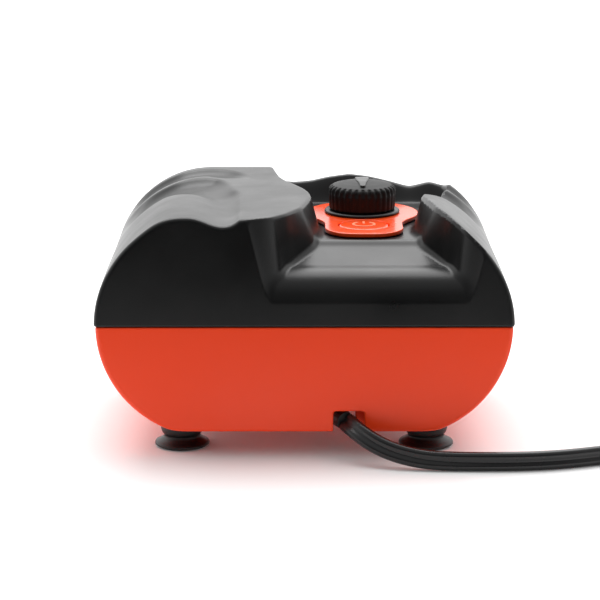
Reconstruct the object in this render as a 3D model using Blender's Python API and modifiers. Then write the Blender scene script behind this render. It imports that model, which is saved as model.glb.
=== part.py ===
"""Twin-outlet aquarium air pump, built as separate pieces in its own frame.

Metres, +Z up. The cord and the controls face -Y, the air outlets face +Y.
Every piece hangs from one empty, placed so that the pump without its cord is
centred on the origin and stands on z = 0.
"""
import math

import bmesh
import bpy
from mathutils import Matrix, Vector

MM = 0.001

# Overall sizes
WIDTH = 150 * MM
DEPTH = 108 * MM
TOP_Z = 88 * MM
SEAM_Z = 48.7 * MM
SKIRT_Z = 9.7 * MM
LOWER_RADIUS = 41.5 * MM
WALL = 2.4 * MM
EDGE_FILLET = 1.8 * MM
GAP = 0.3 * MM
FRONT = -DEPTH / 2
BACK = DEPTH / 2

# Flutes moulded into the two shoulders
FLUTE_DEPTH = 3.0 * MM
FLUTE_RISER = 4.0 * MM
FLUTE_TAIL = 20.0 * MM
FLUTE_FADE = (60 * MM, 71 * MM)
SWELL_X = 50.5 * MM
SWELL_SPREAD = 7.5 * MM
SWELL_HEIGHT = 2.1 * MM
SWELL_FADE = (-34 * MM, 22 * MM)
FLUTE_CREST = (
    (23.0, -60), (24.0, -6), (26.8, 4.7), (29.5, 17.2), (33.3, 24.6), (40.2, 27.4),
    (54.0, 29), (59.7, 30.5), (63.3, 33.9), (67.2, 37.5), (76, 47),
)

# Control bay: half widths of its mouth at the top of the shell, from the cord side
BAY_X = 23.3 * MM
BAY_LEAN_MOUTH = math.tan(math.radians(2))
BAY_LEAN_FRONT = math.tan(math.radians(19))
BAY_LEAN_BACK = math.tan(math.radians(8))
BAY_LEAN_RISE = (FRONT + 9 * MM, FRONT + 25 * MM)
BAY_LEAN_CHANGE = (-18 * MM, 4 * MM)
BAY_MOUTH = (
    (FRONT / MM - 8, 52), (FRONT / MM - 0.3, 45.5), (FRONT / MM + 1.6, 40.5),
    (FRONT / MM + 3.8, 35.4), (FRONT / MM + 10.8, 29.8), (-31.4, 24.2),
    (-16.1, 21.4), (-9.2, 20.7), (0, 21.4), (7.7, 23.3), (17.3, 27.2), (23.6, 30.0),
    (32, 32.6), (BACK / MM - 10, 34.2), (BACK / MM + 8, 36.5),
)
PANEL_Z = 77 * MM
PANEL_THICKNESS = 1.6 * MM
RAMP_CREASE = (FRONT + 11.5 * MM, 68.8 * MM)
RAMP_ROLL = 11.7 * MM
RAMP_TOP = (FRONT + 24.5 * MM, 73.4 * MM)
BAY_FLOOR_FRONT = -27.6 * MM
BAY_FLOOR_BACK = BACK - 15.8 * MM
BAY_CREST = (BACK - 7 * MM, 85.4 * MM)
BAY_REAR_FALL = 6 * MM

# Controls
CONTROL_X = 22.4 * MM
KNOB_Y = 16 * MM
BUTTON_Y = -8.7 * MM
PLATE_RADIUS = 21.6 * MM
TONGUE_HALF = 14.6 * MM
TONGUE_END = -25.2 * MM
TONGUE_CORNER = 9 * MM
BUTTON_RADIUS = 9.3 * MM
BUTTON_TRAVEL = 1.0 * MM
KNOB_RADIUS = 12.8 * MM
KNOB_TOP = 87 * MM
KNOB_CROWN = 2.1 * MM
KNOB_SCALLOPS = 30
SCALLOP_DEPTH = 0.9 * MM
BEZEL_RADIUS = 14.4 * MM
BEZEL_HEIGHT = 1.0 * MM
SHAFT_RADIUS = 3.0 * MM
BUSHING_RADIUS = 4.5 * MM

# Control board under the bay
BOARD_Z = 62 * MM
BOARD_THICKNESS = 1.6 * MM
BOARD_HALF = (19 * MM, 25 * MM)
BOARD_Y = 5 * MM
STANDOFF_RADIUS = 3 * MM
POT_HEIGHT = 7.4 * MM
SWITCH_HEIGHT = 5.8 * MM

# Underside, feet and screws
FLOOR_Z = 17.7 * MM
FOOT_X = 45 * MM
FOOT_Y = BACK - 17 * MM
FOOT_RADIUS = 10 * MM
FOOT_STEM_RADIUS = 2.5 * MM
FOOT_STEM_LENGTH = 5 * MM
FOOT_BOSS_RADIUS = 6 * MM
SCREW_X = 30 * MM
SCREW_Y = BACK - 10 * MM
SCREW_RADIUS = 1.5 * MM
SCREW_HEAD_RADIUS = 2.9 * MM
SCREW_HEAD_HEIGHT = 2.3 * MM
SCREW_SEAT_Z = 40 * MM
SCREW_END_Z = 61.5 * MM
SCREW_BOSS_RADIUS = 4.6 * MM

# Cord notch, strain relief and cord
NOTCH_RIB = ((18.6 * MM, FRONT + 6.6 * MM), (34 * MM, FRONT + 9 * MM))
CORD_RADIUS = 3.5 * MM
NOTCH_CLEARANCE = 0.5 * MM
RELIEF_RADIUS = 4 * MM
RELIEF_TOP = (7.6 * MM, -32 * MM)
RELIEF_END = (15.2 * MM, -53.2 * MM, 13.4 * MM)
NOTCH_TOP = RELIEF_END[2] + CORD_RADIUS + NOTCH_CLEARANCE
NOTCH_X = (RELIEF_END[0] - CORD_RADIUS - 1.2 * MM, RELIEF_END[0] + CORD_RADIUS + 3.1 * MM)
CORD_ROUTE = (
    (15.4, -53.9, 13.4), (16.3, -56.4, 13.2), (18.5, -59.5, 12.1), (21.8, -62.3, 10.2),
    (26.3, -64.8, 8.0), (31.8, -66.8, 6.1), (38.2, -68.3, 4.7), (45.5, -69.2, 3.8),
    (55.5, -69.7, 3.5), (68.9, -69.8, 3.5), (80.0, -69.2, 3.5), (90.0, -67.5, 3.5),
    (99.0, -64.9, 3.5), (107.0, -62.0, 3.5), (115.0, -59.4, 3.5), (123.0, -57.4, 3.5),
    (130.0, -56.2, 3.5), (137.0, -55.6, 3.5),
)
CORD_POINT_SPACING = 6 * MM
COIL_CENTRE = (162 * MM, -14 * MM)
COIL_INNER = 29 * MM
COIL_OUTER = 45 * MM
COIL_HEIGHT = 14 * MM
TIE_THICKNESS = 0.9 * MM
TIE_WIDTH = 5 * MM
PLUG_LENGTH = 25 * MM
PLUG_WIDTH = 18 * MM
PLUG_HEIGHT = 11 * MM
BLADE_LENGTH = 16.5 * MM
BLADE_HEIGHT = 6.3 * MM
BLADE_THICKNESS = 1.5 * MM
BLADE_SPACING = 12.7 * MM

# Air outlets in the rear wall
OUTLET_X = 17 * MM
OUTLET_Z = 30 * MM
OUTLET_REACH = 14 * MM
OUTLET_BARB_RADIUS = 2.9 * MM
OUTLET_BODY_RADIUS = 4 * MM
OUTLET_BORE = 1.3 * MM
OUTLET_TAIL_Y = 46 * MM

# Tray with the vibrator
TRAY_Z = 24 * MM
TRAY_THICKNESS = 3 * MM
TRAY_HALF_WIDTH = 61.5 * MM
TRAY_Y = (-26 * MM, 37 * MM)
MOUNT_X = 50 * MM
MOUNT_Y = (-20 * MM, 31 * MM)
MOUNT_PIN_RADIUS = 2 * MM
MOTOR_Y = 2 * MM
CORE_BAR_X = (14 * MM, 20 * MM)
CORE_HEIGHT = 30 * MM
CORE_DEPTH = 22 * MM
CORE_LEG_HEIGHT = 8 * MM
WINDING_BUILD = 6.5 * MM
BOBBIN_WALL = 1.2 * MM
PIVOT_X = 58.5 * MM
PIVOT_Z = 48.6 * MM
PIN_RADIUS = 1.5 * MM
KNUCKLE_RADIUS = 3.2 * MM
ARM_HALF_WIDTH = 7 * MM
ARM_THICKNESS = 2 * MM
ARM_TIP_X = 21.9 * MM
MAGNET_SIZE = (4 * MM, 15 * MM, 10 * MM)
CHAMBER_X = 40.7 * MM
CHAMBER_HALF = 13.4 * MM
CHAMBER_TOP = 37.9 * MM
RIM_RADIUS = 11.8 * MM
RIM_Z = 35.6 * MM
AIR_TUBE_RADIUS = 2.6 * MM

# Filter in the floor
FILTER_Y = 6 * MM
FILTER_HALF = (20 * MM, 13 * MM)

ARC_STEPS = 11
TOP_STEPS = 19
ROUND = 24


# ---------------------------------------------------------------- scene and helpers

def clear_scene():
    for thing in list(bpy.data.objects):
        bpy.data.objects.remove(thing)


def make_collection(name):
    made = bpy.data.collections.new(name)
    bpy.context.scene.collection.children.link(made)
    return made


clear_scene()
PARTS = make_collection("aquarium_air_pump")
CUTTERS = make_collection("cutters")
PUMP = bpy.data.objects.new("pump_origin", None)
PARTS.objects.link(PUMP)
PUMP.location = (0, -OUTLET_REACH / 2, 0)
MATERIALS = {}


def material(name, color, roughness, metallic=0.0):
    if name not in MATERIALS:
        made = bpy.data.materials.new(name)
        made.use_nodes = True
        shader = made.node_tree.nodes["Principled BSDF"]
        shader.inputs["Base Color"].default_value = (*color, 1)
        shader.inputs["Roughness"].default_value = roughness
        shader.inputs["Metallic"].default_value = metallic
        MATERIALS[name] = made
    return MATERIALS[name]


def black_plastic():
    return material("black_plastic", (0.02, 0.02, 0.022), 0.36)


def orange_plastic():
    return material("orange_plastic", (0.78, 0.085, 0.015), 0.4)


def orange_gloss():
    return material("orange_gloss", (0.95, 0.12, 0.02), 0.12)


def black_rubber():
    return material("black_rubber", (0.012, 0.012, 0.012), 0.7)


def cord_plastic():
    return material("cord_plastic", (0.01, 0.01, 0.01), 0.45)


def grey_plastic():
    return material("grey_plastic", (0.35, 0.36, 0.37), 0.5)


def white_plastic():
    return material("white_plastic", (0.75, 0.75, 0.72), 0.5)


def steel():
    return material("steel", (0.6, 0.6, 0.62), 0.35, 1.0)


def core_steel():
    return material("core_steel", (0.3, 0.3, 0.32), 0.5, 1.0)


def brass():
    return material("brass", (0.75, 0.6, 0.32), 0.3, 1.0)


def copper_wire():
    return material("copper_wire", (0.55, 0.2, 0.08), 0.4, 1.0)


def magnet_black():
    return material("magnet_ceramic", (0.06, 0.06, 0.065), 0.6)


def board_green():
    return material("board_green", (0.02, 0.2, 0.08), 0.45)


def felt_white():
    return material("felt_white", (0.8, 0.79, 0.75), 0.95)


def silicone():
    return material("silicone", (0.7, 0.72, 0.72), 0.35)


def place(name, mesh, finish=None, at=(0, 0, 0), turn=None):
    """A new object under the pump's empty; without a finish it is a cutter."""
    made = bpy.data.objects.new(name, mesh)
    (PARTS if finish else CUTTERS).objects.link(made)
    made.parent = PUMP
    made.location = at
    if turn is not None:
        made.rotation_euler = turn
    if finish:
        mesh.materials.clear()
        mesh.materials.append(finish)
    else:
        made.hide_render = True
        made.display_type = "WIRE"
    return made


def mesh_from(bm, name):
    mesh = bpy.data.meshes.new(name)
    bmesh.ops.recalc_face_normals(bm, faces=bm.faces)
    bm.to_mesh(mesh)
    bm.free()
    return mesh


def shade(piece, degrees=35):
    piece.data.shade_smooth()
    piece.data.set_sharp_from_angle(angle=math.radians(degrees))


def box_mesh(name, low, high):
    bm = bmesh.new()
    size = [b - a for a, b in zip(low, high)]
    middle = [(a + b) / 2 for a, b in zip(low, high)]
    bmesh.ops.create_cube(bm, size=1)
    bmesh.ops.scale(bm, vec=size, verts=bm.verts)
    bmesh.ops.translate(bm, vec=middle, verts=bm.verts)
    return mesh_from(bm, name)


AXIS_TURNS = {
    "X": Matrix.Rotation(math.pi / 2, 4, "Y"),
    "Y": Matrix.Rotation(-math.pi / 2, 4, "X"),
    "Z": Matrix.Identity(4),
}


def rod_mesh(name, centre, radius, start, end, axis="Z", segments=ROUND):
    """A cylinder along an axis from start to end; centre gives the other two coordinates."""
    bm = bmesh.new()
    bmesh.ops.create_cone(
        bm, cap_ends=True, segments=segments, radius1=radius, radius2=radius, depth=end - start
    )
    bmesh.ops.transform(bm, matrix=AXIS_TURNS[axis], verts=bm.verts)
    middle = list(centre)
    middle.insert("XYZ".index(axis), (start + end) / 2)
    bmesh.ops.translate(bm, vec=middle, verts=bm.verts)
    return mesh_from(bm, name)


def loft_mesh(name, sections):
    """A closed body through equal loops of points, capped at both ends."""
    bm = bmesh.new()
    rings = [[bm.verts.new(point) for point in section] for section in sections]
    count = len(rings[0])
    for ring, following in zip(rings, rings[1:]):
        for i in range(count):
            j = (i + 1) % count
            bm.faces.new((ring[i], ring[j], following[j], following[i]))
    bm.faces.new(reversed(rings[0]))
    bm.faces.new(rings[-1])
    return mesh_from(bm, name)


def turned(name, profile, finish, at=(0, 0, 0), turn=None, segments=ROUND, ring=False):
    """A profile of (radius, height) turned about Z, listed down its outer side."""
    bm = bmesh.new()
    outline = [bm.verts.new((radius, 0, height)) for radius, height in profile]
    for a, b in zip(outline, outline[1:]):
        bm.edges.new((a, b))
    if ring:
        bm.edges.new((outline[-1], outline[0]))
    mesh = bpy.data.meshes.new(name)
    bm.to_mesh(mesh)
    bm.free()
    made = place(name, mesh, finish, at, turn)
    screw = made.modifiers.new("turn", "SCREW")
    screw.steps = segments
    screw.render_steps = segments
    screw.use_merge_vertices = True
    screw.merge_threshold = 0.00001
    screw.use_smooth_shade = True
    return made


def curve_to_mesh(name, curve):
    holder = bpy.data.objects.new(name + "_curve", curve)
    CUTTERS.objects.link(holder)
    bpy.context.view_layer.update()
    evaluated = holder.evaluated_get(bpy.context.evaluated_depsgraph_get())
    mesh = bpy.data.meshes.new_from_object(evaluated)
    mesh.name = name
    bpy.data.objects.remove(holder)
    bm = bmesh.new()
    bm.from_mesh(mesh)
    bmesh.ops.remove_doubles(bm, verts=bm.verts, dist=0.000002)
    bm.to_mesh(mesh)
    bm.free()
    return mesh


def plate_mesh(name, outlines, thickness, lift=0.0):
    """A flat plate in XY from closed outlines (the later ones are holes), standing on lift."""
    curve = bpy.data.curves.new(name, "CURVE")
    curve.dimensions = "2D"
    curve.fill_mode = "BOTH"
    curve.extrude = thickness / 2
    for outline in outlines:
        spline = curve.splines.new("POLY")
        spline.points.add(len(outline) - 1)
        for point, (x, y) in zip(spline.points, outline):
            point.co = (x, y, 0, 1)
        spline.use_cyclic_u = True
    mesh = curve_to_mesh(name, curve)
    mesh.transform(Matrix.Translation((0, 0, lift + thickness / 2)))
    return mesh


def tube_mesh(name, points, radius, resolution=2):
    curve = bpy.data.curves.new(name, "CURVE")
    curve.dimensions = "3D"
    curve.bevel_depth = radius
    curve.bevel_resolution = resolution
    curve.use_fill_caps = True
    spline = curve.splines.new("POLY")
    spline.points.add(len(points) - 1)
    for point, place_at in zip(spline.points, points):
        point.co = (*place_at, 1)
    return curve_to_mesh(name, curve)


def cut(piece, cutter, operation="DIFFERENCE"):
    boolean = piece.modifiers.new(cutter.name, "BOOLEAN")
    boolean.operation = operation
    boolean.solver = "EXACT"
    boolean.object = cutter


def cut_box(piece, name, low, high):
    cut(piece, place(name, box_mesh(name, low, high)))


def cut_rod(piece, name, centre, radius, start, end, axis="Z", segments=ROUND):
    cut(piece, place(name, rod_mesh(name, centre, radius, start, end, axis, segments)))


def soften(piece, width, segments=1, angle=50):
    bevel = piece.modifiers.new("soften", "BEVEL")
    bevel.width = width
    bevel.segments = segments
    bevel.limit_method = "ANGLE"
    bevel.angle_limit = math.radians(angle)
    return bevel


def circle(centre, radius, segments=ROUND, start=0.0, end=2 * math.pi):
    """Points on an arc; a full circle leaves out its repeated last point."""
    full = abs(end - start - 2 * math.pi) < 1e-9
    steps = segments if full else segments + 1
    return [
        (
            centre[0] + radius * math.cos(start + (end - start) * i / segments),
            centre[1] + radius * math.sin(start + (end - start) * i / segments),
        )
        for i in range(steps)
    ]


def smooth_route(points, spacing):
    """Evenly spaced points on a Catmull-Rom curve through the route's own points."""
    knots = [Vector(p) * MM for p in points]
    knots = [knots[0] * 2 - knots[1], *knots, knots[-1] * 2 - knots[-2]]
    fine = []
    for a, b, c, d in zip(knots, knots[1:], knots[2:], knots[3:]):
        for i in range(12):
            t = i / 12
            fine.append(
                0.5
                * (2 * b + (c - a) * t + (2 * a - 5 * b + 4 * c - d) * t**2
                   + (3 * b - a - 3 * c + d) * t**3)
            )
    fine.append(knots[-2])
    total = sum((q - p).length for p, q in zip(fine, fine[1:]))
    count = max(2, round(total / spacing))
    wanted = [total * i / count for i in range(count + 1)]
    route, run, at = [fine[0]], 0.0, 1
    for p, q in zip(fine, fine[1:]):
        step = (q - p).length
        while at < count and run + step >= wanted[at]:
            route.append(p.lerp(q, (wanted[at] - run) / step))
            at += 1
        run += step
    return [*route, fine[-1]]


def blend_step(low, high, value):
    t = min(max((value - low) / (high - low), 0), 1)
    return t * t * (3 - 2 * t)


# ---------------------------------------------------------------- casing

def flute_depth(x, y):
    """How far the shoulder lies below its plain shape at a place in plan."""
    side = abs(x)
    nearest, signed = 1e9, 0.0
    for (ax, ay), (bx, by) in zip(FLUTE_CREST, FLUTE_CREST[1:]):
        ax, ay, bx, by = ax * MM, ay * MM, bx * MM, by * MM
        run = ((side - ax) * (bx - ax) + (y - ay) * (by - ay)) / (
            (bx - ax) ** 2 + (by - ay) ** 2
        )
        run = min(max(run, 0), 1)
        px, py = ax + run * (bx - ax), ay + run * (by - ay)
        away = math.hypot(side - px, y - py)
        if away < nearest:
            nearest = away
            signed = (bx - ax) * (y - ay) - (by - ay) * (side - ax)
    if signed > 0:
        return 0.0
    dip = blend_step(0, FLUTE_RISER, nearest)
    dip *= 1 - blend_step(FLUTE_RISER, FLUTE_RISER + FLUTE_TAIL, nearest)
    return FLUTE_DEPTH * dip * (1 - blend_step(*FLUTE_FADE, side))


def shoulder_swell(x, y):
    """How far the front shoulder stands out past its plain round shape."""
    away = (abs(x) - SWELL_X) / SWELL_SPREAD
    return SWELL_HEIGHT * math.exp(-away * away / 2) * (1 - 0.9 * blend_step(*SWELL_FADE, y))


def upper_section(y, inset, base_z):
    """The upper casing's outline at one depth, from its right seam edge over the top."""
    radius = TOP_Z - SEAM_Z
    centre = WIDTH / 2 - radius
    plain = []
    for i in range(1, ARC_STEPS + 1):
        angle = math.pi / 2 * i / ARC_STEPS
        plain.append((centre + radius * math.cos(angle), SEAM_Z + radius * math.sin(angle),
                      math.cos(angle), math.sin(angle)))
    for i in range(1, TOP_STEPS):
        plain.append((centre - 2 * centre * i / TOP_STEPS, TOP_Z, 0, 1))
    mirrored = [(-x, z, -nx, nz) for x, z, nx, nz in reversed(plain[:ARC_STEPS])]
    points = [(WIDTH / 2 - inset, y, base_z)]
    for x, z, nx, nz in [*plain, *mirrored]:
        deep = inset + flute_depth(x, y) - shoulder_swell(x, y)
        points.append((x - nx * deep, y, z - nz * deep))
    points.append((inset - WIDTH / 2, y, base_z))
    return points


def edge_stations(inner):
    """Depths from face to face with the inset that rounds the two end edges."""
    half = DEPTH / 2
    rounding = [(0, EDGE_FILLET), (0.25, 0.33), (1, 0)]
    front = [(-half + share * EDGE_FILLET, inset if share == 0 else inset * EDGE_FILLET)
             for share, inset in rounding]
    back = [(-y, inset) for y, inset in reversed(front)]
    return front + [(y, 0) for y in inner] + back


UPPER_DEPTHS = [v * MM for v in (-44, -30, -16, -6, 2, 9, 15, 19, 22.5, 25, 27.5, 30.5, 34, 38, 43, 48)]


def bay_floor(y, inset):
    """Height of the bay's floor and ramp along the pump."""
    crease_y, crease_z = RAMP_CREASE
    if y < crease_y:
        reach = min(crease_y - y, RAMP_ROLL - inset)
        return crease_z - RAMP_ROLL + math.sqrt(max((RAMP_ROLL - inset) ** 2 - reach**2, 0))
    line = [
        RAMP_CREASE,
        RAMP_TOP,
        (BAY_FLOOR_FRONT, PANEL_Z - PANEL_THICKNESS - GAP),
        (BAY_FLOOR_BACK, PANEL_Z - PANEL_THICKNESS - GAP),
        BAY_CREST,
        (DEPTH / 2 + 8 * MM, BAY_CREST[1] - BAY_REAR_FALL),
    ]
    for (ay, az), (by, bz) in zip(line, line[1:]):
        if y <= by:
            return az + (bz - az) * (y - ay) / (by - ay) - inset
    return line[-1][1] - inset


def bay_mouth(y):
    for (ay, aw), (by, bw) in zip(BAY_MOUTH, BAY_MOUTH[1:]):
        if y <= by * MM:
            return (aw + (bw - aw) * (y / MM - ay) / (by - ay)) * MM
    return BAY_MOUTH[-1][1] * MM


def bay_cutter(name, inset):
    """The space over the bay's floor, between its drafted walls, grown by inset."""
    crease_y = RAMP_CREASE[0]
    roll = [crease_y - (RAMP_ROLL - inset) * math.cos(math.radians(a)) for a in (0, 20, 38, 55, 72)]
    depths = {round(v, 6) for v in roll}
    depths |= {round(y * MM, 6) for y, _ in BAY_MOUTH}
    depths |= {round(v, 6) for v in (crease_y, RAMP_TOP[0], BAY_FLOOR_FRONT, BAY_FLOOR_BACK,
                                    BAY_CREST[0], 25 * MM)}
    lid = TOP_Z + 6 * MM
    sections = []
    for y in sorted(depths):
        floor = bay_floor(y, inset)
        lean = BAY_LEAN_MOUTH + (BAY_LEAN_FRONT - BAY_LEAN_MOUTH) * blend_step(*BAY_LEAN_RISE, y)
        lean += (BAY_LEAN_BACK - BAY_LEAN_FRONT) * blend_step(*BAY_LEAN_CHANGE, y)
        top = bay_mouth(y) + inset + (lid - TOP_Z) * lean
        bottom = bay_mouth(y) + inset - (TOP_Z - floor) * lean
        sections.append([
            (BAY_X - bottom, y, floor), (BAY_X + bottom, y, floor),
            (BAY_X + top, y, lid), (BAY_X - top, y, lid),
        ])
    return place(name, loft_mesh(name, sections))


def corners(x, y):
    return [(sx * x, sy * y) for sy in (-1, 1) for sx in (-1, 1)]


def make_upper_shell():
    base = SEAM_Z + GAP / 2
    outside = [upper_section(y, inset, base) for y, inset in edge_stations(UPPER_DEPTHS)]
    shell = place("upper_shell", loft_mesh("upper_shell", outside), black_plastic())

    half = DEPTH / 2 - WALL
    below = SEAM_Z - 4 * MM
    inner_depths = [-half, *UPPER_DEPTHS, half]
    inside = [upper_section(y, WALL, below) for y in inner_depths]
    hollow = place("upper_hollow", loft_mesh("upper_hollow", inside))
    cut(hollow, bay_cutter("bay_under", WALL))
    for i, (x, y) in enumerate(corners(SCREW_X, SCREW_Y)):
        cut_rod(hollow, f"upper_boss_{i}", (x, y), SCREW_BOSS_RADIUS - 0.6 * MM, base, TOP_Z, segments=16)
    for i, (x, y) in enumerate(corners(BOARD_HALF[0] - 4 * MM, BOARD_HALF[1] - 4 * MM)):
        cut_rod(hollow, f"standoff_{i}", (CONTROL_X + x, BOARD_Y + y), STANDOFF_RADIUS,
                BOARD_Z + BOARD_THICKNESS + GAP, PANEL_Z, segments=12)
    cut(shell, bay_cutter("bay", 0))
    cut(shell, hollow)
    for i, (x, y) in enumerate(corners(SCREW_X, SCREW_Y)):
        cut_rod(shell, f"upper_screw_hole_{i}", (x, y), SCREW_RADIUS + GAP, SEAM_Z - 1 * MM,
                SCREW_END_Z + 0.8 * MM, segments=12)
    cut_rod(shell, "bushing_hole", (CONTROL_X, KNOB_Y), BUSHING_RADIUS + GAP, 66 * MM, PANEL_Z + 2 * MM)
    cut_rod(shell, "button_hole", (CONTROL_X, BUTTON_Y), BUTTON_RADIUS + GAP, 66 * MM, PANEL_Z + 2 * MM)
    shade(shell)


def lower_section(y, inset, top_z, bottom_z):
    """The lower casing's outline at one depth, from its right side under to its left."""
    radius = LOWER_RADIUS - inset
    centre = WIDTH / 2 - LOWER_RADIUS
    turn = math.asin(min((SEAM_Z - bottom_z) / radius, 1))
    right = [(WIDTH / 2 - inset, y, top_z)]
    for i in range(1, ARC_STEPS + 1):
        angle = turn * i / ARC_STEPS
        right.append((centre + radius * math.cos(angle), y, SEAM_Z - radius * math.sin(angle)))
    return right + [(-x, y, z) for x, y, z in reversed(right)]


def make_lower_shell():
    top = SEAM_Z - GAP / 2
    half = DEPTH / 2
    outside = [lower_section(y, inset, top, SKIRT_Z) for y, inset in edge_stations([-18 * MM, 18 * MM])]
    shell = place("lower_shell", loft_mesh("lower_shell", outside), orange_plastic())

    floor_top = FLOOR_Z + WALL
    inside = [lower_section(y, WALL, SEAM_Z + 4 * MM, floor_top) for y in (WALL - half, half - WALL)]
    hollow = place("lower_hollow", loft_mesh("lower_hollow", inside))
    for i, (x, y) in enumerate(corners(SCREW_X, SCREW_Y)):
        cut_rod(hollow, f"lower_boss_{i}", (x, y), SCREW_BOSS_RADIUS, FLOOR_Z, top)
    for i, (x, y) in enumerate([(sx * MOUNT_X, y) for y in MOUNT_Y for sx in (-1, 1)]):
        cut_rod(hollow, f"mount_pin_{i}", (x, y), MOUNT_PIN_RADIUS, FLOOR_Z, TRAY_Z + 7.5 * MM, segments=12)
    cut(shell, hollow)

    inner_radius = LOWER_RADIUS - WALL
    edge = WIDTH / 2 - LOWER_RADIUS + math.sqrt(inner_radius**2 - (SEAM_Z - FLOOR_Z) ** 2)
    under = []
    for y in (WALL - half, half - WALL):
        arc = [p for p in lower_section(y, WALL, FLOOR_Z, SKIRT_Z)[1:-1] if p[2] < FLOOR_Z - 0.2 * MM]
        right, left = arc[:len(arc) // 2], arc[len(arc) // 2:]
        reach = right[-1][0]
        drop = SKIRT_Z - 4 * MM
        under.append([
            (edge, y, FLOOR_Z), *right, (reach, y, drop), (-reach, y, drop), *left, (-edge, y, FLOOR_Z),
        ])
    recess = place("underside_recess", loft_mesh("underside_recess", under))
    for i, (x, y) in enumerate(corners(FOOT_X, FOOT_Y)):
        cut_rod(recess, f"foot_boss_{i}", (x, y), FOOT_BOSS_RADIUS, SKIRT_Z, FLOOR_Z + 2 * MM)
    cut_box(recess, "notch_rib", (*NOTCH_RIB[0], 0), (*NOTCH_RIB[1], FLOOR_Z + 2 * MM))
    cut(shell, recess)

    for i, (x, y) in enumerate(corners(FOOT_X, FOOT_Y)):
        cut_rod(shell, f"foot_hole_{i}", (x, y), FOOT_STEM_RADIUS + GAP, SKIRT_Z - 1 * MM,
                SKIRT_Z + FOOT_STEM_LENGTH + GAP, segments=16)
    for i, (x, y) in enumerate(corners(SCREW_X, SCREW_Y)):
        cut_rod(shell, f"screw_well_{i}", (x, y), SCREW_HEAD_RADIUS + GAP, FLOOR_Z - 1 * MM,
                SCREW_SEAT_Z, segments=16)
        cut_rod(shell, f"lower_screw_hole_{i}", (x, y), SCREW_RADIUS + GAP, SCREW_SEAT_Z - 1 * MM,
                SEAM_Z + 1 * MM, segments=16)
    cut_box(shell, "cord_notch", (NOTCH_X[0], -half - 1 * MM, SKIRT_Z - 5 * MM),
            (NOTCH_X[1], WALL + 1 * MM - half, NOTCH_TOP))
    passage = tube_mesh("cord_passage", smooth_route(CORD_ROUTE, CORD_POINT_SPACING), CORD_RADIUS + GAP, 3)
    cut(shell, place("cord_passage", passage))
    cut_rod(shell, "relief_hole", RELIEF_TOP, RELIEF_RADIUS + GAP, FLOOR_Z - 1 * MM, floor_top + 1 * MM)
    for side in (-1, 1):
        cut_rod(shell, f"outlet_hole_{side}", (side * OUTLET_X, OUTLET_Z), OUTLET_BODY_RADIUS + GAP,
                half - WALL - 1 * MM, half + 1 * MM, axis="Y")
    cut_box(shell, "filter_opening",
            (-FILTER_HALF[0], FILTER_Y - FILTER_HALF[1], FLOOR_Z - 1 * MM),
            (FILTER_HALF[0], FILTER_Y + FILTER_HALF[1], floor_top + 1 * MM))
    shade(shell)


# ---------------------------------------------------------------- controls

def make_panel():
    join = math.asin(TONGUE_HALF / PLATE_RADIUS)
    plate = circle((CONTROL_X, KNOB_Y), PLATE_RADIUS, 30, -math.pi / 2 + join, 1.5 * math.pi - join)
    side_y = TONGUE_END + 2.2 * MM + TONGUE_CORNER
    left = circle((CONTROL_X - TONGUE_HALF + TONGUE_CORNER, side_y), TONGUE_CORNER, 6,
                  math.pi, 1.5 * math.pi - 0.2)
    right = [(2 * CONTROL_X - x, y) for x, y in reversed(left)]
    outline = [*plate, *left, (CONTROL_X, TONGUE_END), *right]
    holes = [
        circle((CONTROL_X, BUTTON_Y), BUTTON_RADIUS + GAP, 32),
        circle((CONTROL_X, KNOB_Y), BUSHING_RADIUS + 2 * GAP, 24),
    ]
    mesh = plate_mesh("control_panel", [outline, *holes], PANEL_THICKNESS, PANEL_Z - PANEL_THICKNESS)
    shade(place("control_panel", mesh, orange_gloss()))


def make_button():
    floor_under = PANEL_Z - PANEL_THICKNESS - GAP - WALL
    flange_top = floor_under - GAP
    stem_end = BOARD_Z + BOARD_THICKNESS + GAP + SWITCH_HEIGHT + BUTTON_TRAVEL + 0.2 * MM
    flange = flange_top - 0.9 * MM
    top = PANEL_Z
    profile = [
        (0, top), (BUTTON_RADIUS - 0.5 * MM, top), (BUTTON_RADIUS, top - 0.4 * MM),
        (BUTTON_RADIUS, flange_top), (BUTTON_RADIUS + 1.1 * MM, flange_top),
        (BUTTON_RADIUS + 1.1 * MM, flange), (3 * MM, flange), (3 * MM, stem_end), (0, stem_end),
    ]
    turned("power_button", profile, orange_gloss(), at=(CONTROL_X, BUTTON_Y, 0), segments=32)

    board_top = BOARD_Z + BOARD_THICKNESS + GAP
    size = 4 * MM
    switch = place("power_switch", box_mesh(
        "power_switch", (CONTROL_X - size, BUTTON_Y - size, board_top),
        (CONTROL_X + size, BUTTON_Y + size, board_top + SWITCH_HEIGHT)), grey_plastic())
    plunger = 1.5 * MM
    cut_rod(switch, "plunger_hole", (CONTROL_X, BUTTON_Y), plunger + GAP, board_top + 1.2 * MM,
            board_top + SWITCH_HEIGHT + 1 * MM, segments=12)
    place("switch_plunger", rod_mesh("switch_plunger", (0, 0), plunger, board_top + 2.6 * MM,
                                     stem_end - GAP, segments=12),
          white_plastic(), at=(CONTROL_X, BUTTON_Y, 0))


def knob_outline():
    """A round outline with evenly spaced scallops."""
    points = []
    for i in range(KNOB_SCALLOPS * 4):
        angle = 2 * math.pi * i / (KNOB_SCALLOPS * 4)
        radius = KNOB_RADIUS - SCALLOP_DEPTH * (0.5 - 0.5 * math.cos(angle * KNOB_SCALLOPS))
        points.append((radius * math.cos(angle), radius * math.sin(angle)))
    return points


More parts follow.
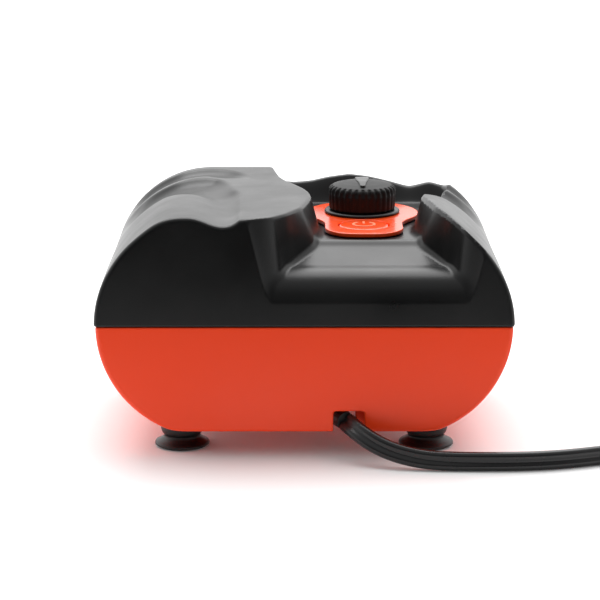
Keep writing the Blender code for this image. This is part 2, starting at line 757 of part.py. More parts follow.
def make_knob():
    bezel_low = PANEL_Z + GAP
    bezel_top = bezel_low + BEZEL_HEIGHT
    inner = BUSHING_RADIUS + 2 * GAP
    turned("knob_bezel", [
        (inner, bezel_top), (BEZEL_RADIUS - 0.5 * MM, bezel_top), (BEZEL_RADIUS, bezel_top - 0.5 * MM),
        (BEZEL_RADIUS, bezel_low), (inner, bezel_low),
    ], black_plastic(), at=(CONTROL_X, KNOB_Y, 0), segments=36, ring=True)

    low = bezel_top + GAP
    knob = place("control_knob", plate_mesh("control_knob", [knob_outline()], KNOB_TOP - low, low),
                 black_plastic(), at=(CONTROL_X, KNOB_Y, 0))
    crown = turned("knob_crown", [
        (0, KNOB_TOP + KNOB_CROWN), (4 * MM, KNOB_TOP + KNOB_CROWN - 0.1 * MM),
        (8 * MM, KNOB_TOP + KNOB_CROWN - 0.6 * MM), (11.4 * MM, KNOB_TOP + 0.3 * MM),
        (11.5 * MM, KNOB_TOP - 1 * MM), (0, KNOB_TOP - 1 * MM),
    ], None, at=(CONTROL_X, KNOB_Y, 0))
    cut(knob, crown, "UNION")
    cut_rod(knob, "shaft_socket", (CONTROL_X, KNOB_Y), SHAFT_RADIUS + GAP, low - 1 * MM,
            KNOB_TOP - 2.4 * MM, segments=16)

    board_top = BOARD_Z + BOARD_THICKNESS + GAP
    body_top = board_top + POT_HEIGHT
    place("knob_shaft", rod_mesh("knob_shaft", (0, 0), SHAFT_RADIUS, board_top + 2 * MM,
                                 KNOB_TOP - 2.4 * MM - GAP, segments=16),
          steel(), at=(CONTROL_X, KNOB_Y, 0))
    bushing_top = PANEL_Z + GAP
    bore = SHAFT_RADIUS + GAP
    turned("potentiometer", [
        (bore, bushing_top), (BUSHING_RADIUS, bushing_top), (BUSHING_RADIUS, body_top),
        (8.2 * MM, body_top), (8.2 * MM, board_top), (0, board_top),
        (0, board_top + 1.4 * MM), (bore, board_top + 1.4 * MM), (bore, bushing_top),
    ], grey_plastic(), at=(CONTROL_X, KNOB_Y, 0), segments=20)


def make_board():
    low = (CONTROL_X - BOARD_HALF[0], BOARD_Y - BOARD_HALF[1], BOARD_Z)
    high = (CONTROL_X + BOARD_HALF[0], BOARD_Y + BOARD_HALF[1], BOARD_Z + BOARD_THICKNESS)
    place("control_board", box_mesh("control_board", low, high), board_green())
    top = high[2] + GAP
    turned("board_capacitor", [
        (0, top + 7 * MM), (3.4 * MM, top + 7 * MM), (4 * MM, top + 6.4 * MM), (4 * MM, top), (0, top),
    ], grey_plastic(), at=(CONTROL_X - 12.5 * MM, BOARD_Y - 5 * MM, 0), segments=16)


# ---------------------------------------------------------------- underside

def make_feet():
    names = ("foot_front_left", "foot_front_right", "foot_rear_left", "foot_rear_right")
    top = SKIRT_Z - GAP
    stem_top = top + FOOT_STEM_LENGTH
    profile = [
        (0, stem_top), (FOOT_STEM_RADIUS, stem_top), (FOOT_STEM_RADIUS, top), (6.6 * MM, top),
        (7.7 * MM, top - 1.1 * MM), (7.85 * MM, 6.8 * MM), (7.4 * MM, 5.2 * MM), (6.7 * MM, 4.3 * MM),
        (6.8 * MM, 3.5 * MM), (8.2 * MM, 2.4 * MM), (FOOT_RADIUS, 1.4 * MM),
        (FOOT_RADIUS, 0.8 * MM), (FOOT_RADIUS - 1.2 * MM, 0), (0, 0),
    ]
    for name, (x, y) in zip(names, corners(FOOT_X, FOOT_Y)):
        turned(name, profile, black_rubber(), at=(x, y, 0), segments=20)


def make_screws():
    names = ("screw_front_left", "screw_front_right", "screw_rear_left", "screw_rear_right")
    seat = SCREW_SEAT_Z - GAP
    head = seat - SCREW_HEAD_HEIGHT
    profile = [
        (0, SCREW_END_Z), (0.5 * MM, SCREW_END_Z), (SCREW_RADIUS, SCREW_END_Z - 2 * MM),
        (SCREW_RADIUS, seat), (SCREW_HEAD_RADIUS, seat), (SCREW_HEAD_RADIUS, head + 0.7 * MM),
        (SCREW_HEAD_RADIUS - 0.8 * MM, head), (0, head),
    ]
    for name, (x, y) in zip(names, corners(SCREW_X, SCREW_Y)):
        turned(name, profile, steel(), at=(x, y, 0), segments=12)


def make_filter():
    rim = 3 * MM
    high = FLOOR_Z - GAP
    thickness = 1.8 * MM
    cover = place("filter_cover", box_mesh(
        "filter_cover", (-FILTER_HALF[0] - rim, FILTER_Y - FILTER_HALF[1] - rim, high - thickness),
        (FILTER_HALF[0] + rim, FILTER_Y + FILTER_HALF[1] + rim, high)), orange_plastic())
    for i in range(7):
        x = (i - 3) * 5 * MM
        cut_box(cover, f"filter_slot_{i}", (x - 1 * MM, FILTER_Y - 9 * MM, high - thickness - 1 * MM),
                (x + 1 * MM, FILTER_Y + 9 * MM, high + 1 * MM))
    inset = 0.6 * MM
    place("filter_felt", box_mesh(
        "filter_felt", (inset - FILTER_HALF[0], FILTER_Y - FILTER_HALF[1] + inset, FLOOR_Z),
        (FILTER_HALF[0] - inset, FILTER_Y + FILTER_HALF[1] - inset, FLOOR_Z + 4 * MM)), felt_white())


# ---------------------------------------------------------------- cord

def make_strain_relief():
    """An elbow plugged up through the floor, with a tapered tail along the cord."""
    tail_start = Vector((RELIEF_TOP[0], RELIEF_TOP[1], RELIEF_END[2]))
    tail_end = Vector(RELIEF_END)
    along = tail_end - tail_start
    turn = along.to_track_quat("Z", "Y").to_matrix().to_4x4()
    length = along.length
    rings = [(-RELIEF_RADIUS, 3.6 * MM), (0, RELIEF_RADIUS), (length * 0.3, RELIEF_RADIUS),
             (length, CORD_RADIUS - 0.1 * MM)]
    sections = []
    for run, radius in rings:
        ring = circle((0, 0), radius, 16)
        sections.append([tail_start + (turn @ Vector((x, y, run)).to_4d()).to_3d() for x, y in ring])
    relief = place("strain_relief", loft_mesh("strain_relief", sections), black_rubber())
    stub = place("relief_stub", rod_mesh("relief_stub", RELIEF_TOP, RELIEF_RADIUS - 0.2 * MM,
                                         RELIEF_END[2], FLOOR_Z + WALL + 1 * MM, segments=16))
    cut(relief, stub, "UNION")
    flange = place("relief_flange", rod_mesh(
        "relief_flange", RELIEF_TOP, RELIEF_RADIUS + 2 * MM, FLOOR_Z + WALL + GAP,
        FLOOR_Z + WALL + 1.7 * MM, segments=16))
    cut(relief, flange, "UNION")


def coil_point(angle, radius, z):
    return Vector((COIL_CENTRE[0] + radius * math.cos(angle), COIL_CENTRE[1] + radius * math.sin(angle), z))


def make_cord():
    place("power_cord", tube_mesh("power_cord", smooth_route(CORD_ROUTE, CORD_POINT_SPACING),
                                  CORD_RADIUS, 3), cord_plastic())
    round_off = 3 * MM
    profile = [
        (COIL_INNER, COIL_HEIGHT - round_off), (COIL_INNER + round_off, COIL_HEIGHT),
        (COIL_OUTER - round_off, COIL_HEIGHT), (COIL_OUTER, COIL_HEIGHT - round_off),
        (COIL_OUTER, round_off), (COIL_OUTER - round_off, 0), (COIL_INNER + round_off, 0),
        (COIL_INNER, round_off),
    ]
    turned("cord_coil", profile, cord_plastic(), at=(*COIL_CENTRE, 0), segments=40, ring=True)

    middle = (COIL_INNER + COIL_OUTER) / 2
    over = COIL_HEIGHT + GAP
    plug_y = COIL_CENTRE[1] + middle
    plug_x = COIL_CENTRE[0] + 6 * MM
    plug_z = over + PLUG_HEIGHT / 2
    climb = []
    for i in range(6):
        share = i / 5
        angle = math.radians(20 + 38 * share)
        climb.append(coil_point(angle, middle, over + CORD_RADIUS + 0.1 * MM + 1.5 * MM * share))
    climb += [Vector((plug_x + run, plug_y, plug_z)) for run in (6 * MM, 3 * MM, GAP)]
    place("cord_tail", tube_mesh("cord_tail", climb, CORD_RADIUS, 2), cord_plastic())

    half_width = PLUG_WIDTH / 2
    low = (plug_x - PLUG_LENGTH, plug_y - half_width, over)
    high = (plug_x, plug_y + half_width, over + PLUG_HEIGHT)
    plug = place("power_plug", box_mesh("power_plug", low, high), cord_plastic())
    soften(plug, 3 * MM, 2)
    for side, name in ((-1, "plug_blade_left"), (1, "plug_blade_right")):
        y = plug_y + side * BLADE_SPACING / 2
        start = low[0] - GAP
        place(name, box_mesh(
            name, (start - BLADE_LENGTH, y - BLADE_THICKNESS / 2, plug_z - BLADE_HEIGHT / 2),
            (start, y + BLADE_THICKNESS / 2, plug_z + BLADE_HEIGHT / 2)), brass())

    inner, outer = COIL_INNER - GAP, COIL_OUTER + GAP
    strap = [
        (inner - TIE_THICKNESS, 0), (inner, 0), (inner, over), (outer, over), (outer, 0),
        (outer + TIE_THICKNESS, 0), (outer + TIE_THICKNESS, over + TIE_THICKNESS),
        (inner - TIE_THICKNESS, over + TIE_THICKNESS),
    ]
    mesh = plate_mesh("cord_tie", [strap], TIE_WIDTH, -TIE_WIDTH / 2)
    mesh.transform(Matrix.Rotation(math.pi / 2, 4, "X"))
    place("cord_tie", mesh, black_rubber(), at=(*COIL_CENTRE, 0), turn=(0, 0, math.radians(-20)))


# ---------------------------------------------------------------- air side

def make_outlets():
    wall = DEPTH / 2
    end = OUTLET_REACH
    barb = OUTLET_BARB_RADIUS
    body = OUTLET_BODY_RADIUS
    back = OUTLET_TAIL_Y - wall
    profile = [
        (OUTLET_BORE, end), (barb - 0.9 * MM, end), (barb, end - 2.4 * MM),
        (barb - 0.7 * MM, end - 2.4 * MM),
        (barb - 0.7 * MM, end - 4.4 * MM), (barb, end - 6.8 * MM), (barb - 0.7 * MM, end - 6.8 * MM),
        (barb - 0.7 * MM, 2 * MM), (5.6 * MM, 2 * MM), (6 * MM, 1.6 * MM), (6 * MM, GAP), (body, GAP),
        (body, -3.4 * MM), (barb - 0.6 * MM, -3.8 * MM), (barb - 0.6 * MM, back), (OUTLET_BORE, back),
    ]
    for side, name in ((-1, "outlet_nozzle_left"), (1, "outlet_nozzle_right")):
        turned(name, profile, black_plastic(), at=(side * OUTLET_X, wall, OUTLET_Z),
               turn=(-math.pi / 2, 0, 0), segments=16, ring=True)


def make_air_tubes():
    start_y = MOTOR_Y + CHAMBER_HALF + 7 * MM + GAP
    port_z = TRAY_Z + TRAY_THICKNESS + GAP + 3.4 * MM
    for side, name in ((-1, "air_tube_left"), (1, "air_tube_right")):
        points = [
            (side * CHAMBER_X / MM, start_y / MM, port_z / MM),
            (side * CHAMBER_X / MM, start_y / MM + 2, port_z / MM),
            (side * 39.4, 28.5, port_z / MM), (side * 34.5, 32.2, 30.4), (side * 27, 34.4, 30),
            (side * 20, 37, 30), (side * OUTLET_X / MM, 41.5, 30),
            (side * OUTLET_X / MM, (OUTLET_TAIL_Y - GAP) / MM - 2, OUTLET_Z / MM),
            (side * OUTLET_X / MM, (OUTLET_TAIL_Y - GAP) / MM, OUTLET_Z / MM),
        ]
        place(name, tube_mesh(name, smooth_route(points, 4 * MM), AIR_TUBE_RADIUS), silicone())


def make_chambers():
    low = TRAY_Z + TRAY_THICKNESS + GAP
    port_z = low + 3.4 * MM
    shelf = low + 4.2 * MM
    for side, word in ((-1, "left"), (1, "right")):
        x = side * CHAMBER_X
        name = f"air_chamber_{word}"
        chamber = place(name, box_mesh(
            name, (x - CHAMBER_HALF, MOTOR_Y - CHAMBER_HALF, low),
            (x + CHAMBER_HALF, MOTOR_Y + CHAMBER_HALF, CHAMBER_TOP)), white_plastic())
        spigot = place(f"spigot_{word}", rod_mesh(
            f"spigot_{word}", (x, port_z), 2.2 * MM, MOTOR_Y + CHAMBER_HALF - 1 * MM,
            MOTOR_Y + CHAMBER_HALF + 7 * MM, axis="Y", segments=12))
        cut(chamber, spigot, "UNION")
        cut_rod(chamber, f"rim_seat_{word}", (x, MOTOR_Y), RIM_RADIUS + GAP, RIM_Z - GAP,
                CHAMBER_TOP + 1 * MM)
        cut_rod(chamber, f"air_space_{word}", (x, MOTOR_Y), 9.6 * MM, shelf, RIM_Z)
        cut_rod(chamber, f"under_space_{word}", (x, MOTOR_Y), 7.8 * MM, low + 1.4 * MM, shelf + 1 * MM)
        cut_rod(chamber, f"port_{word}", (x, port_z), 1 * MM, MOTOR_Y, MOTOR_Y + CHAMBER_HALF + 8 * MM,
                axis="Y", segments=10)

        plate_name = f"valve_plate_{word}"
        holes = [circle((hole * 4 * MM, 0), 1.3 * MM, 8) for hole in (-1, 1)]
        mesh = plate_mesh(plate_name, [circle((0, 0), 9.3 * MM, 20), *holes], 1.5 * MM, shelf + GAP)
        place(plate_name, mesh, grey_plastic(), at=(x, MOTOR_Y, 0))

        flap_name = f"valve_flap_{word}"
        flap_z = shelf + GAP + 1.5 * MM + GAP
        flap = box_mesh(flap_name, (-2.2 * MM, -5.5 * MM, flap_z), (6 * MM, 2.6 * MM, flap_z + 0.6 * MM))
        place(flap_name, flap, black_rubber(), at=(x, MOTOR_Y, 0))

        top = PIVOT_Z - ARM_THICKNESS / 2 - GAP
        rim_top = RIM_Z + 2 * MM
        thick = 1.1 * MM
        turned(f"diaphragm_{word}", [
            (0, top), (4.5 * MM, top), (4.8 * MM, top - 1.6 * MM), (8 * MM, top - 4.2 * MM),
            (8.6 * MM, top - 5.6 * MM), (7.6 * MM, top - 7 * MM), (9.8 * MM, rim_top),
            (RIM_RADIUS, rim_top), (RIM_RADIUS, RIM_Z), (9.4 * MM - thick, RIM_Z),
            (7.4 * MM - thick, top - 7.2 * MM), (8.4 * MM - thick, top - 5.6 * MM),
            (7.2 * MM - thick, top - 4.4 * MM), (3.6 * MM, top - 2.6 * MM), (0, top - 2.8 * MM),
        ], black_rubber(), at=(x, MOTOR_Y, 0), segments=20)


def make_swing_arms():
    for side, word in ((-1, "left"), (1, "right")):
        pivot = (side * PIVOT_X, MOTOR_Y, PIVOT_Z)
        name = f"swing_arm_{word}"
        reach = PIVOT_X - ARM_TIP_X
        ends = sorted((0, -side * reach))
        arm = place(name, box_mesh(name, (ends[0], -ARM_HALF_WIDTH, -ARM_THICKNESS / 2),
                                   (ends[1], ARM_HALF_WIDTH, ARM_THICKNESS / 2)), steel(), at=pivot)
        knuckle = place(f"knuckle_{word}", rod_mesh(
            f"knuckle_{word}", (0, 0), KNUCKLE_RADIUS, -ARM_HALF_WIDTH - 1 * MM, ARM_HALF_WIDTH + 1 * MM,
            axis="Y", segments=16), at=pivot)
        cut(arm, knuckle, "UNION")
        cut(arm, place(f"knuckle_bore_{word}", rod_mesh(
            f"knuckle_bore_{word}", (0, 0), PIN_RADIUS + GAP, -12 * MM, 12 * MM, axis="Y", segments=16),
            at=pivot))

        name = f"pivot_pin_{word}"
        place(name, rod_mesh(name, (0, 0), PIN_RADIUS, -13.6 * MM, 13.6 * MM, axis="Y", segments=12),
              steel(), at=pivot)

        sx, sy, sz = MAGNET_SIZE
        inner = -side * (reach - 0.2 * MM)
        span = sorted((inner, inner + side * sx))
        name = f"magnet_{word}"
        high = -ARM_THICKNESS / 2 - GAP
        place(name, box_mesh(name, (span[0], -sy / 2, high - sz), (span[1], sy / 2, high)),
              magnet_black(), at=pivot)


def make_tray():
    tray_top = TRAY_Z + TRAY_THICKNESS
    tray = place("vibrator_tray", box_mesh(
        "vibrator_tray", (-TRAY_HALF_WIDTH, TRAY_Y[0], TRAY_Z),
        (TRAY_HALF_WIDTH, TRAY_Y[1], tray_top)), grey_plastic())
    post = 2.2 * MM
    for side, word in ((-1, "left"), (1, "right")):
        for end in (-1, 1):
            middle = MOTOR_Y + end * (ARM_HALF_WIDTH + 1 * MM + 0.6 * MM + post)
            x = side * PIVOT_X
            name = f"pivot_post_{word}_{end}"
            cut(tray, place(name, box_mesh(
                name, (x - 3 * MM, middle - post, tray_top - 1 * MM),
                (x + 3 * MM, middle + post, PIVOT_Z + 3.4 * MM))), "UNION")
        name = f"pivot_hole_{word}"
        cut_rod(tray, name, (side * PIVOT_X, PIVOT_Z), PIN_RADIUS + GAP, MOTOR_Y - 20 * MM,
                MOTOR_Y + 20 * MM, axis="Y", segments=12)
    mounts = [(sx * MOUNT_X, y) for y in MOUNT_Y for sx in (-1, 1)]
    waist = 3.6 * MM
    for i, (x, y) in enumerate(mounts):
        cut_rod(tray, f"tray_hole_{i}", (x, y), waist + GAP, TRAY_Z - 1 * MM, tray_top + 1 * MM, segments=16)
    names = ("vibration_mount_front_left", "vibration_mount_front_right",
             "vibration_mount_rear_left", "vibration_mount_rear_right")
    low = FLOOR_Z + WALL + GAP
    bore = MOUNT_PIN_RADIUS + GAP
    flange = 5.4 * MM
    profile = [
        (bore, tray_top + 2.4 * MM), (flange - 0.8 * MM, tray_top + 2.4 * MM), (flange, tray_top + 1.6 * MM),
        (flange, tray_top + GAP), (waist, tray_top + GAP), (waist, TRAY_Z - GAP), (flange, TRAY_Z - GAP),
        (flange, low), (bore, low),
    ]
    for name, (x, y) in zip(names, mounts):
        turned(name, profile, black_rubber(), at=(x, y, 0), segments=16, ring=True)


def make_motor():
    low = TRAY_Z + TRAY_THICKNESS + GAP
    middle = low + CORE_HEIGHT / 2
    inner, outer = CORE_BAR_X
    leg = CORE_LEG_HEIGHT / 2
    high = low + CORE_HEIGHT
    outline = [
        (-outer, low), (-inner, low), (-inner, middle - leg), (inner - GAP, middle - leg),
        (inner - GAP, middle + leg), (-inner, middle + leg), (-inner, high), (-outer, high),
    ]
    upright = Matrix.Translation((0, MOTOR_Y, 0)) @ Matrix.Rotation(math.pi / 2, 4, "X")
    mesh = plate_mesh("motor_core", [outline], CORE_DEPTH, -CORE_DEPTH / 2)
    mesh.transform(upright)
    place("motor_core", mesh, core_steel())
    back = CORE_DEPTH / 2
    place("core_end_bar", box_mesh("core_end_bar", (inner, MOTOR_Y - back, low),
                                   (outer, MOTOR_Y + back, high)), core_steel())

    tube_y = back + GAP
    tube_z = leg + GAP
    end = inner - 2 * GAP
    side = BOBBIN_WALL
    spread = side + WINDING_BUILD + 0.8 * MM
    flange_x = end - side

    def ring_outline(y, z):
        return [(-y, -z), (y, -z), (y, z), (-y, z)]

    turn = Matrix.Translation((0, MOTOR_Y, middle)) @ Matrix(
        ((0, 0, 1, 0), (1, 0, 0, 0), (0, 1, 0, 0), (0, 0, 0, 1)))
    hole = ring_outline(tube_y, tube_z)
    mesh = plate_mesh("coil_bobbin", [ring_outline(tube_y + side, tube_z + side), hole], 2 * end, -end)
    mesh.transform(turn)
    bobbin = place("coil_bobbin", mesh, white_plastic())
    for direction in (-1, 1):
        name = f"bobbin_flange_{direction}"
        mesh = plate_mesh(name, [ring_outline(tube_y + spread, tube_z + spread), hole], side,
                          flange_x if direction > 0 else -end)
        mesh.transform(turn)
        cut(bobbin, place(name, mesh), "UNION")

    gap = side + GAP
    build = gap + WINDING_BUILD
    half = flange_x - GAP
    mesh = plate_mesh("coil_winding", [
        ring_outline(tube_y + build, tube_z + build), ring_outline(tube_y + gap, tube_z + gap)],
        2 * half, -half)
    mesh.transform(turn)
    place("coil_winding", mesh, copper_wire())


def make_leads():
    """The wires inside: supply up to the board, and board down to the coil."""
    start = (RELIEF_TOP[0] / MM, RELIEF_TOP[1] / MM, (FLOOR_Z + WALL + 1.9 * MM + GAP) / MM)
    supply = [
        start, (start[0], start[1], start[2] + 2), (start[0], start[1] - 1, 30),
        (start[0] + 2, -34, 40), (start[0] + 3, -32.5, 48), (start[0] + 4, -28, 54),
        (start[0] + 5, -23, 57.4), (start[0] + 5, -18.4, 58.6),
        (start[0] + 5, -17, 60), (start[0] + 5, -17, (BOARD_Z - 2 * GAP) / MM),
    ]
    place("supply_lead", tube_mesh("supply_lead", smooth_route(supply, 4 * MM), 1 * MM, 1), cord_plastic())
    y = (MOTOR_Y - CORE_DEPTH / 2) / MM - 4
    coil = [(8, y, 55.2), (8.4, y - 0.6, 57.5), (10, y - 1, 60), (10, y - 1, (BOARD_Z - 2 * GAP) / MM)]
    place("coil_lead", tube_mesh("coil_lead", smooth_route(coil, 2 * MM), 0.7 * MM, 1), copper_wire())


make_lower_shell()
make_upper_shell()
make_panel()
make_button()
make_knob()
make_board()
make_feet()
make_screws()
make_filter()
make_strain_relief()
make_cord()
make_outlets()
make_air_tubes()
make_chambers()
make_swing_arms()
make_tray()
make_motor()
make_leads()
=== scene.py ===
"""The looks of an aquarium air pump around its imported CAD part. Sizes are in millimetres."""

import math

import bpy
import numpy as np
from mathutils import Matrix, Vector


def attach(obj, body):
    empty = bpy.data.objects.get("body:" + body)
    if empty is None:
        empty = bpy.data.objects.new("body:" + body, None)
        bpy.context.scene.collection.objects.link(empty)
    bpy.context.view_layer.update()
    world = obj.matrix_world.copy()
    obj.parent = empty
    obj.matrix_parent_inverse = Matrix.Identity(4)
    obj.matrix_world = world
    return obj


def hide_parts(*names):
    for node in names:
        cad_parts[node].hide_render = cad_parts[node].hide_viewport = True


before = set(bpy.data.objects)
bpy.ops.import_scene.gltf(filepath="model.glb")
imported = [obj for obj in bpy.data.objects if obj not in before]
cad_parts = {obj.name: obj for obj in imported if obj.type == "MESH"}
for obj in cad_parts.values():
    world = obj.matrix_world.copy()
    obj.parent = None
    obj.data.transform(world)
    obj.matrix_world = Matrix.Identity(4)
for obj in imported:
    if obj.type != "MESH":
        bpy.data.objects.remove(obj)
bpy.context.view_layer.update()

SHIFT_Y = -7.0
HALF_WIDTH = 75.0
HALF_DEPTH = 54.0
SEAM_Z = 48.7
GAP = 0.3
WALL = 2.4
TOP_Z = 88.0
TOP_RADIUS = 39.3
LOWER_RADIUS = 41.5
SKIRT_Z = 9.7
FLOOR_Z = 17.7
CONTROL_X = 22.4
KNOB_Y = 16.0
BUTTON_Y = -8.7
PANEL_TOP = 77.0
KNOB_TOP = 89.1
FEET = [(x, y) for y in (-37, 37) for x in (-45, 45)]
SCREWS = [(x, y) for y in (-44, 44) for x in (-30, 30)]
PLATE_RADIUS = 21.6
TONGUE_HALF = 14.6
OUTLET_X = 17
OUTLET_Z = 30
CASING_CELL = 0.75


# ---------------------------------------------------------------- materials

def link(tree, output, socket):
    tree.links.new(output, socket)


def add(tree, kind, **values):
    node = tree.nodes.new(kind)
    for name, value in values.items():
        if name in node.inputs:
            node.inputs[name].default_value = value
        else:
            setattr(node, name, value)
    return node


def plastic(name, color, rough, grain=0.03, grain_scale=2500.0, spread=0.06, metallic=0.0,
            dust=0.0, coat=0.0, ior=1.5, wear=0.04, glow=0.0, sheen=0.0):
    """A finish with a fine moulded grain, roughness that drifts, and faint handling wear."""
    material = bpy.data.materials.new(name)
    material.use_nodes = True
    tree = material.node_tree
    shader = tree.nodes["Principled BSDF"]
    shader.inputs["Base Color"].default_value = (*color, 1)
    shader.inputs["Metallic"].default_value = metallic
    shader.inputs["Roughness"].default_value = rough
    shader.inputs["IOR"].default_value = ior
    shader.inputs["Coat Weight"].default_value = coat
    shader.inputs["Coat Roughness"].default_value = 0.12
    shader.inputs["Sheen Weight"].default_value = sheen
    place = add(tree, "ShaderNodeTexCoord")

    drift = add(tree, "ShaderNodeTexNoise", Scale=28.0, Detail=4.0, Roughness=0.6)
    link(tree, place.outputs["Object"], drift.inputs["Vector"])
    roughness = add(tree, "ShaderNodeMapRange")
    roughness.inputs["From Min"].default_value = 0.3
    roughness.inputs["From Max"].default_value = 0.7
    roughness.inputs["To Min"].default_value = max(rough - spread, 0.03)
    roughness.inputs["To Max"].default_value = rough + spread
    link(tree, drift.outputs["Fac"], roughness.inputs["Value"])
    link(tree, roughness.outputs["Result"], shader.inputs["Roughness"])

    worn = add(tree, "ShaderNodeTexNoise", Scale=140.0, Detail=6.0, Roughness=0.7)
    link(tree, place.outputs["Object"], worn.inputs["Vector"])
    amount = add(tree, "ShaderNodeMapRange")
    amount.inputs["From Min"].default_value = 0.55
    amount.inputs["From Max"].default_value = 0.8
    amount.inputs["To Min"].default_value = 0.0
    amount.inputs["To Max"].default_value = wear
    link(tree, worn.outputs["Fac"], amount.inputs["Value"])
    paint = add(tree, "ShaderNodeMix", data_type="RGBA")
    paint.inputs[6].default_value = (*color, 1)
    pale = [min(c * 1.35 + 0.03, 1) for c in color]
    paint.inputs[7].default_value = (*pale, 1)
    link(tree, amount.outputs["Result"], paint.inputs[0])
    link(tree, paint.outputs[2], shader.inputs["Base Color"])

    fine = add(tree, "ShaderNodeTexNoise", Scale=grain_scale, Detail=2.0)
    link(tree, place.outputs["Object"], fine.inputs["Vector"])
    bump = add(tree, "ShaderNodeBump", Strength=grain, Distance=0.0002)
    link(tree, fine.outputs["Fac"], bump.inputs["Height"])
    link(tree, bump.outputs["Normal"], shader.inputs["Normal"])
    return material


FINISHES = {
    "black_shell": plastic("satin black casing", (0.0030, 0.0031, 0.0033), 0.33, grain=0.08,
                           wear=0.010, ior=1.43),
    "orange_shell": plastic("orange casing", (0.98, 0.056, 0.005), 0.36, grain=0.08,
                            wear=0.004, ior=1.42),
    "orange_panel": plastic("orange panel", (0.98, 0.080, 0.010), 0.24, grain=0.03, coat=0.3),
    "black_knob": plastic("black knob", (0.003, 0.003, 0.0032), 0.5, grain=0.10, wear=0.010,
                          ior=1.36),
    "black_rubber": plastic("black rubber", (0.004, 0.004, 0.004), 0.45, grain=0.15, wear=0.02),
    "cord": plastic("black cord", (0.004, 0.004, 0.0045), 0.26, grain=0.05, wear=0.015),
    "grey_plastic": plastic("grey plastic", (0.16, 0.16, 0.17), 0.45),
    "white_plastic": plastic("white plastic", (0.72, 0.71, 0.68), 0.4),
    "steel": plastic("steel", (0.62, 0.61, 0.6), 0.3, metallic=1.0, wear=0.2),
    "core_steel": plastic("laminated steel", (0.3, 0.3, 0.31), 0.42, metallic=1.0, wear=0.3),
    "brass": plastic("brass", (0.8, 0.62, 0.3), 0.24, metallic=1.0, wear=0.2),
    "copper": plastic("copper wire", (0.72, 0.25, 0.1), 0.3, metallic=1.0, grain=0.3),
    "magnet": plastic("ferrite", (0.03, 0.03, 0.033), 0.5, grain=0.3),
    "circuit_board": plastic("circuit board", (0.02, 0.16, 0.05), 0.35),
    "felt": plastic("felt", (0.78, 0.77, 0.74), 0.9, grain=0.9, grain_scale=900.0, sheen=0.4),
    "silicone": plastic("silicone", (0.62, 0.62, 0.6), 0.35, grain=0.05),
}
MARK = plastic("pointer", (0.02, 0.02, 0.02), 0.3, wear=0.02)
ICON = plastic("moulded mark", (1.0, 0.30, 0.16), 0.3)


# ---------------------------------------------------------------- mesh helpers

def metres(points):
    points = np.asarray(points, float).reshape(-1, 3)
    return (points + (0, SHIFT_Y, 0)) / 1000


def piece(name, points, faces, body, slot, replaces=(), normals=None, sharp=None, finish=None):
    """A shown piece from points in the pump's own millimetres."""
    mesh = bpy.data.meshes.new(name)
    mesh.from_pydata(metres(points).tolist(), [], [tuple(int(i) for i in f) for f in faces])
    mesh.polygons.foreach_set("use_smooth", [True] * len(mesh.polygons))
    mesh.update()
    if normals is not None:
        mesh.normals_split_custom_set_from_vertices(normals.tolist())
    if sharp is not None:
        mesh.set_sharp_from_angle(angle=math.radians(sharp))
    thing = bpy.data.objects.new(name, mesh)
    bpy.context.scene.collection.objects.link(thing)
    mesh.materials.append(finish or FINISHES[slot])
    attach(thing, body)
    if replaces:
        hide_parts(*replaces)
    return thing


def meet(a, b, radius):
    """Where both fields are below zero, with the outer corner between them rounded."""
    outside = np.hypot(np.maximum(a + radius, 0), np.maximum(b + radius, 0))
    return np.minimum(np.maximum(a, b), -radius) + outside


def join(a, b, radius):
    """Where either field is below zero, with the inner corner between them rounded."""
    return -meet(-a, -b, radius)


def slopes(field, points, reach=0.06):
    """The field's direction of growth at each point."""
    out = np.empty_like(points)
    for axis in range(3):
        step = np.zeros(3)
        step[axis] = reach
        out[:, axis] = (field(*(points + step).T) - field(*(points - step).T)) / (2 * reach)
    return out


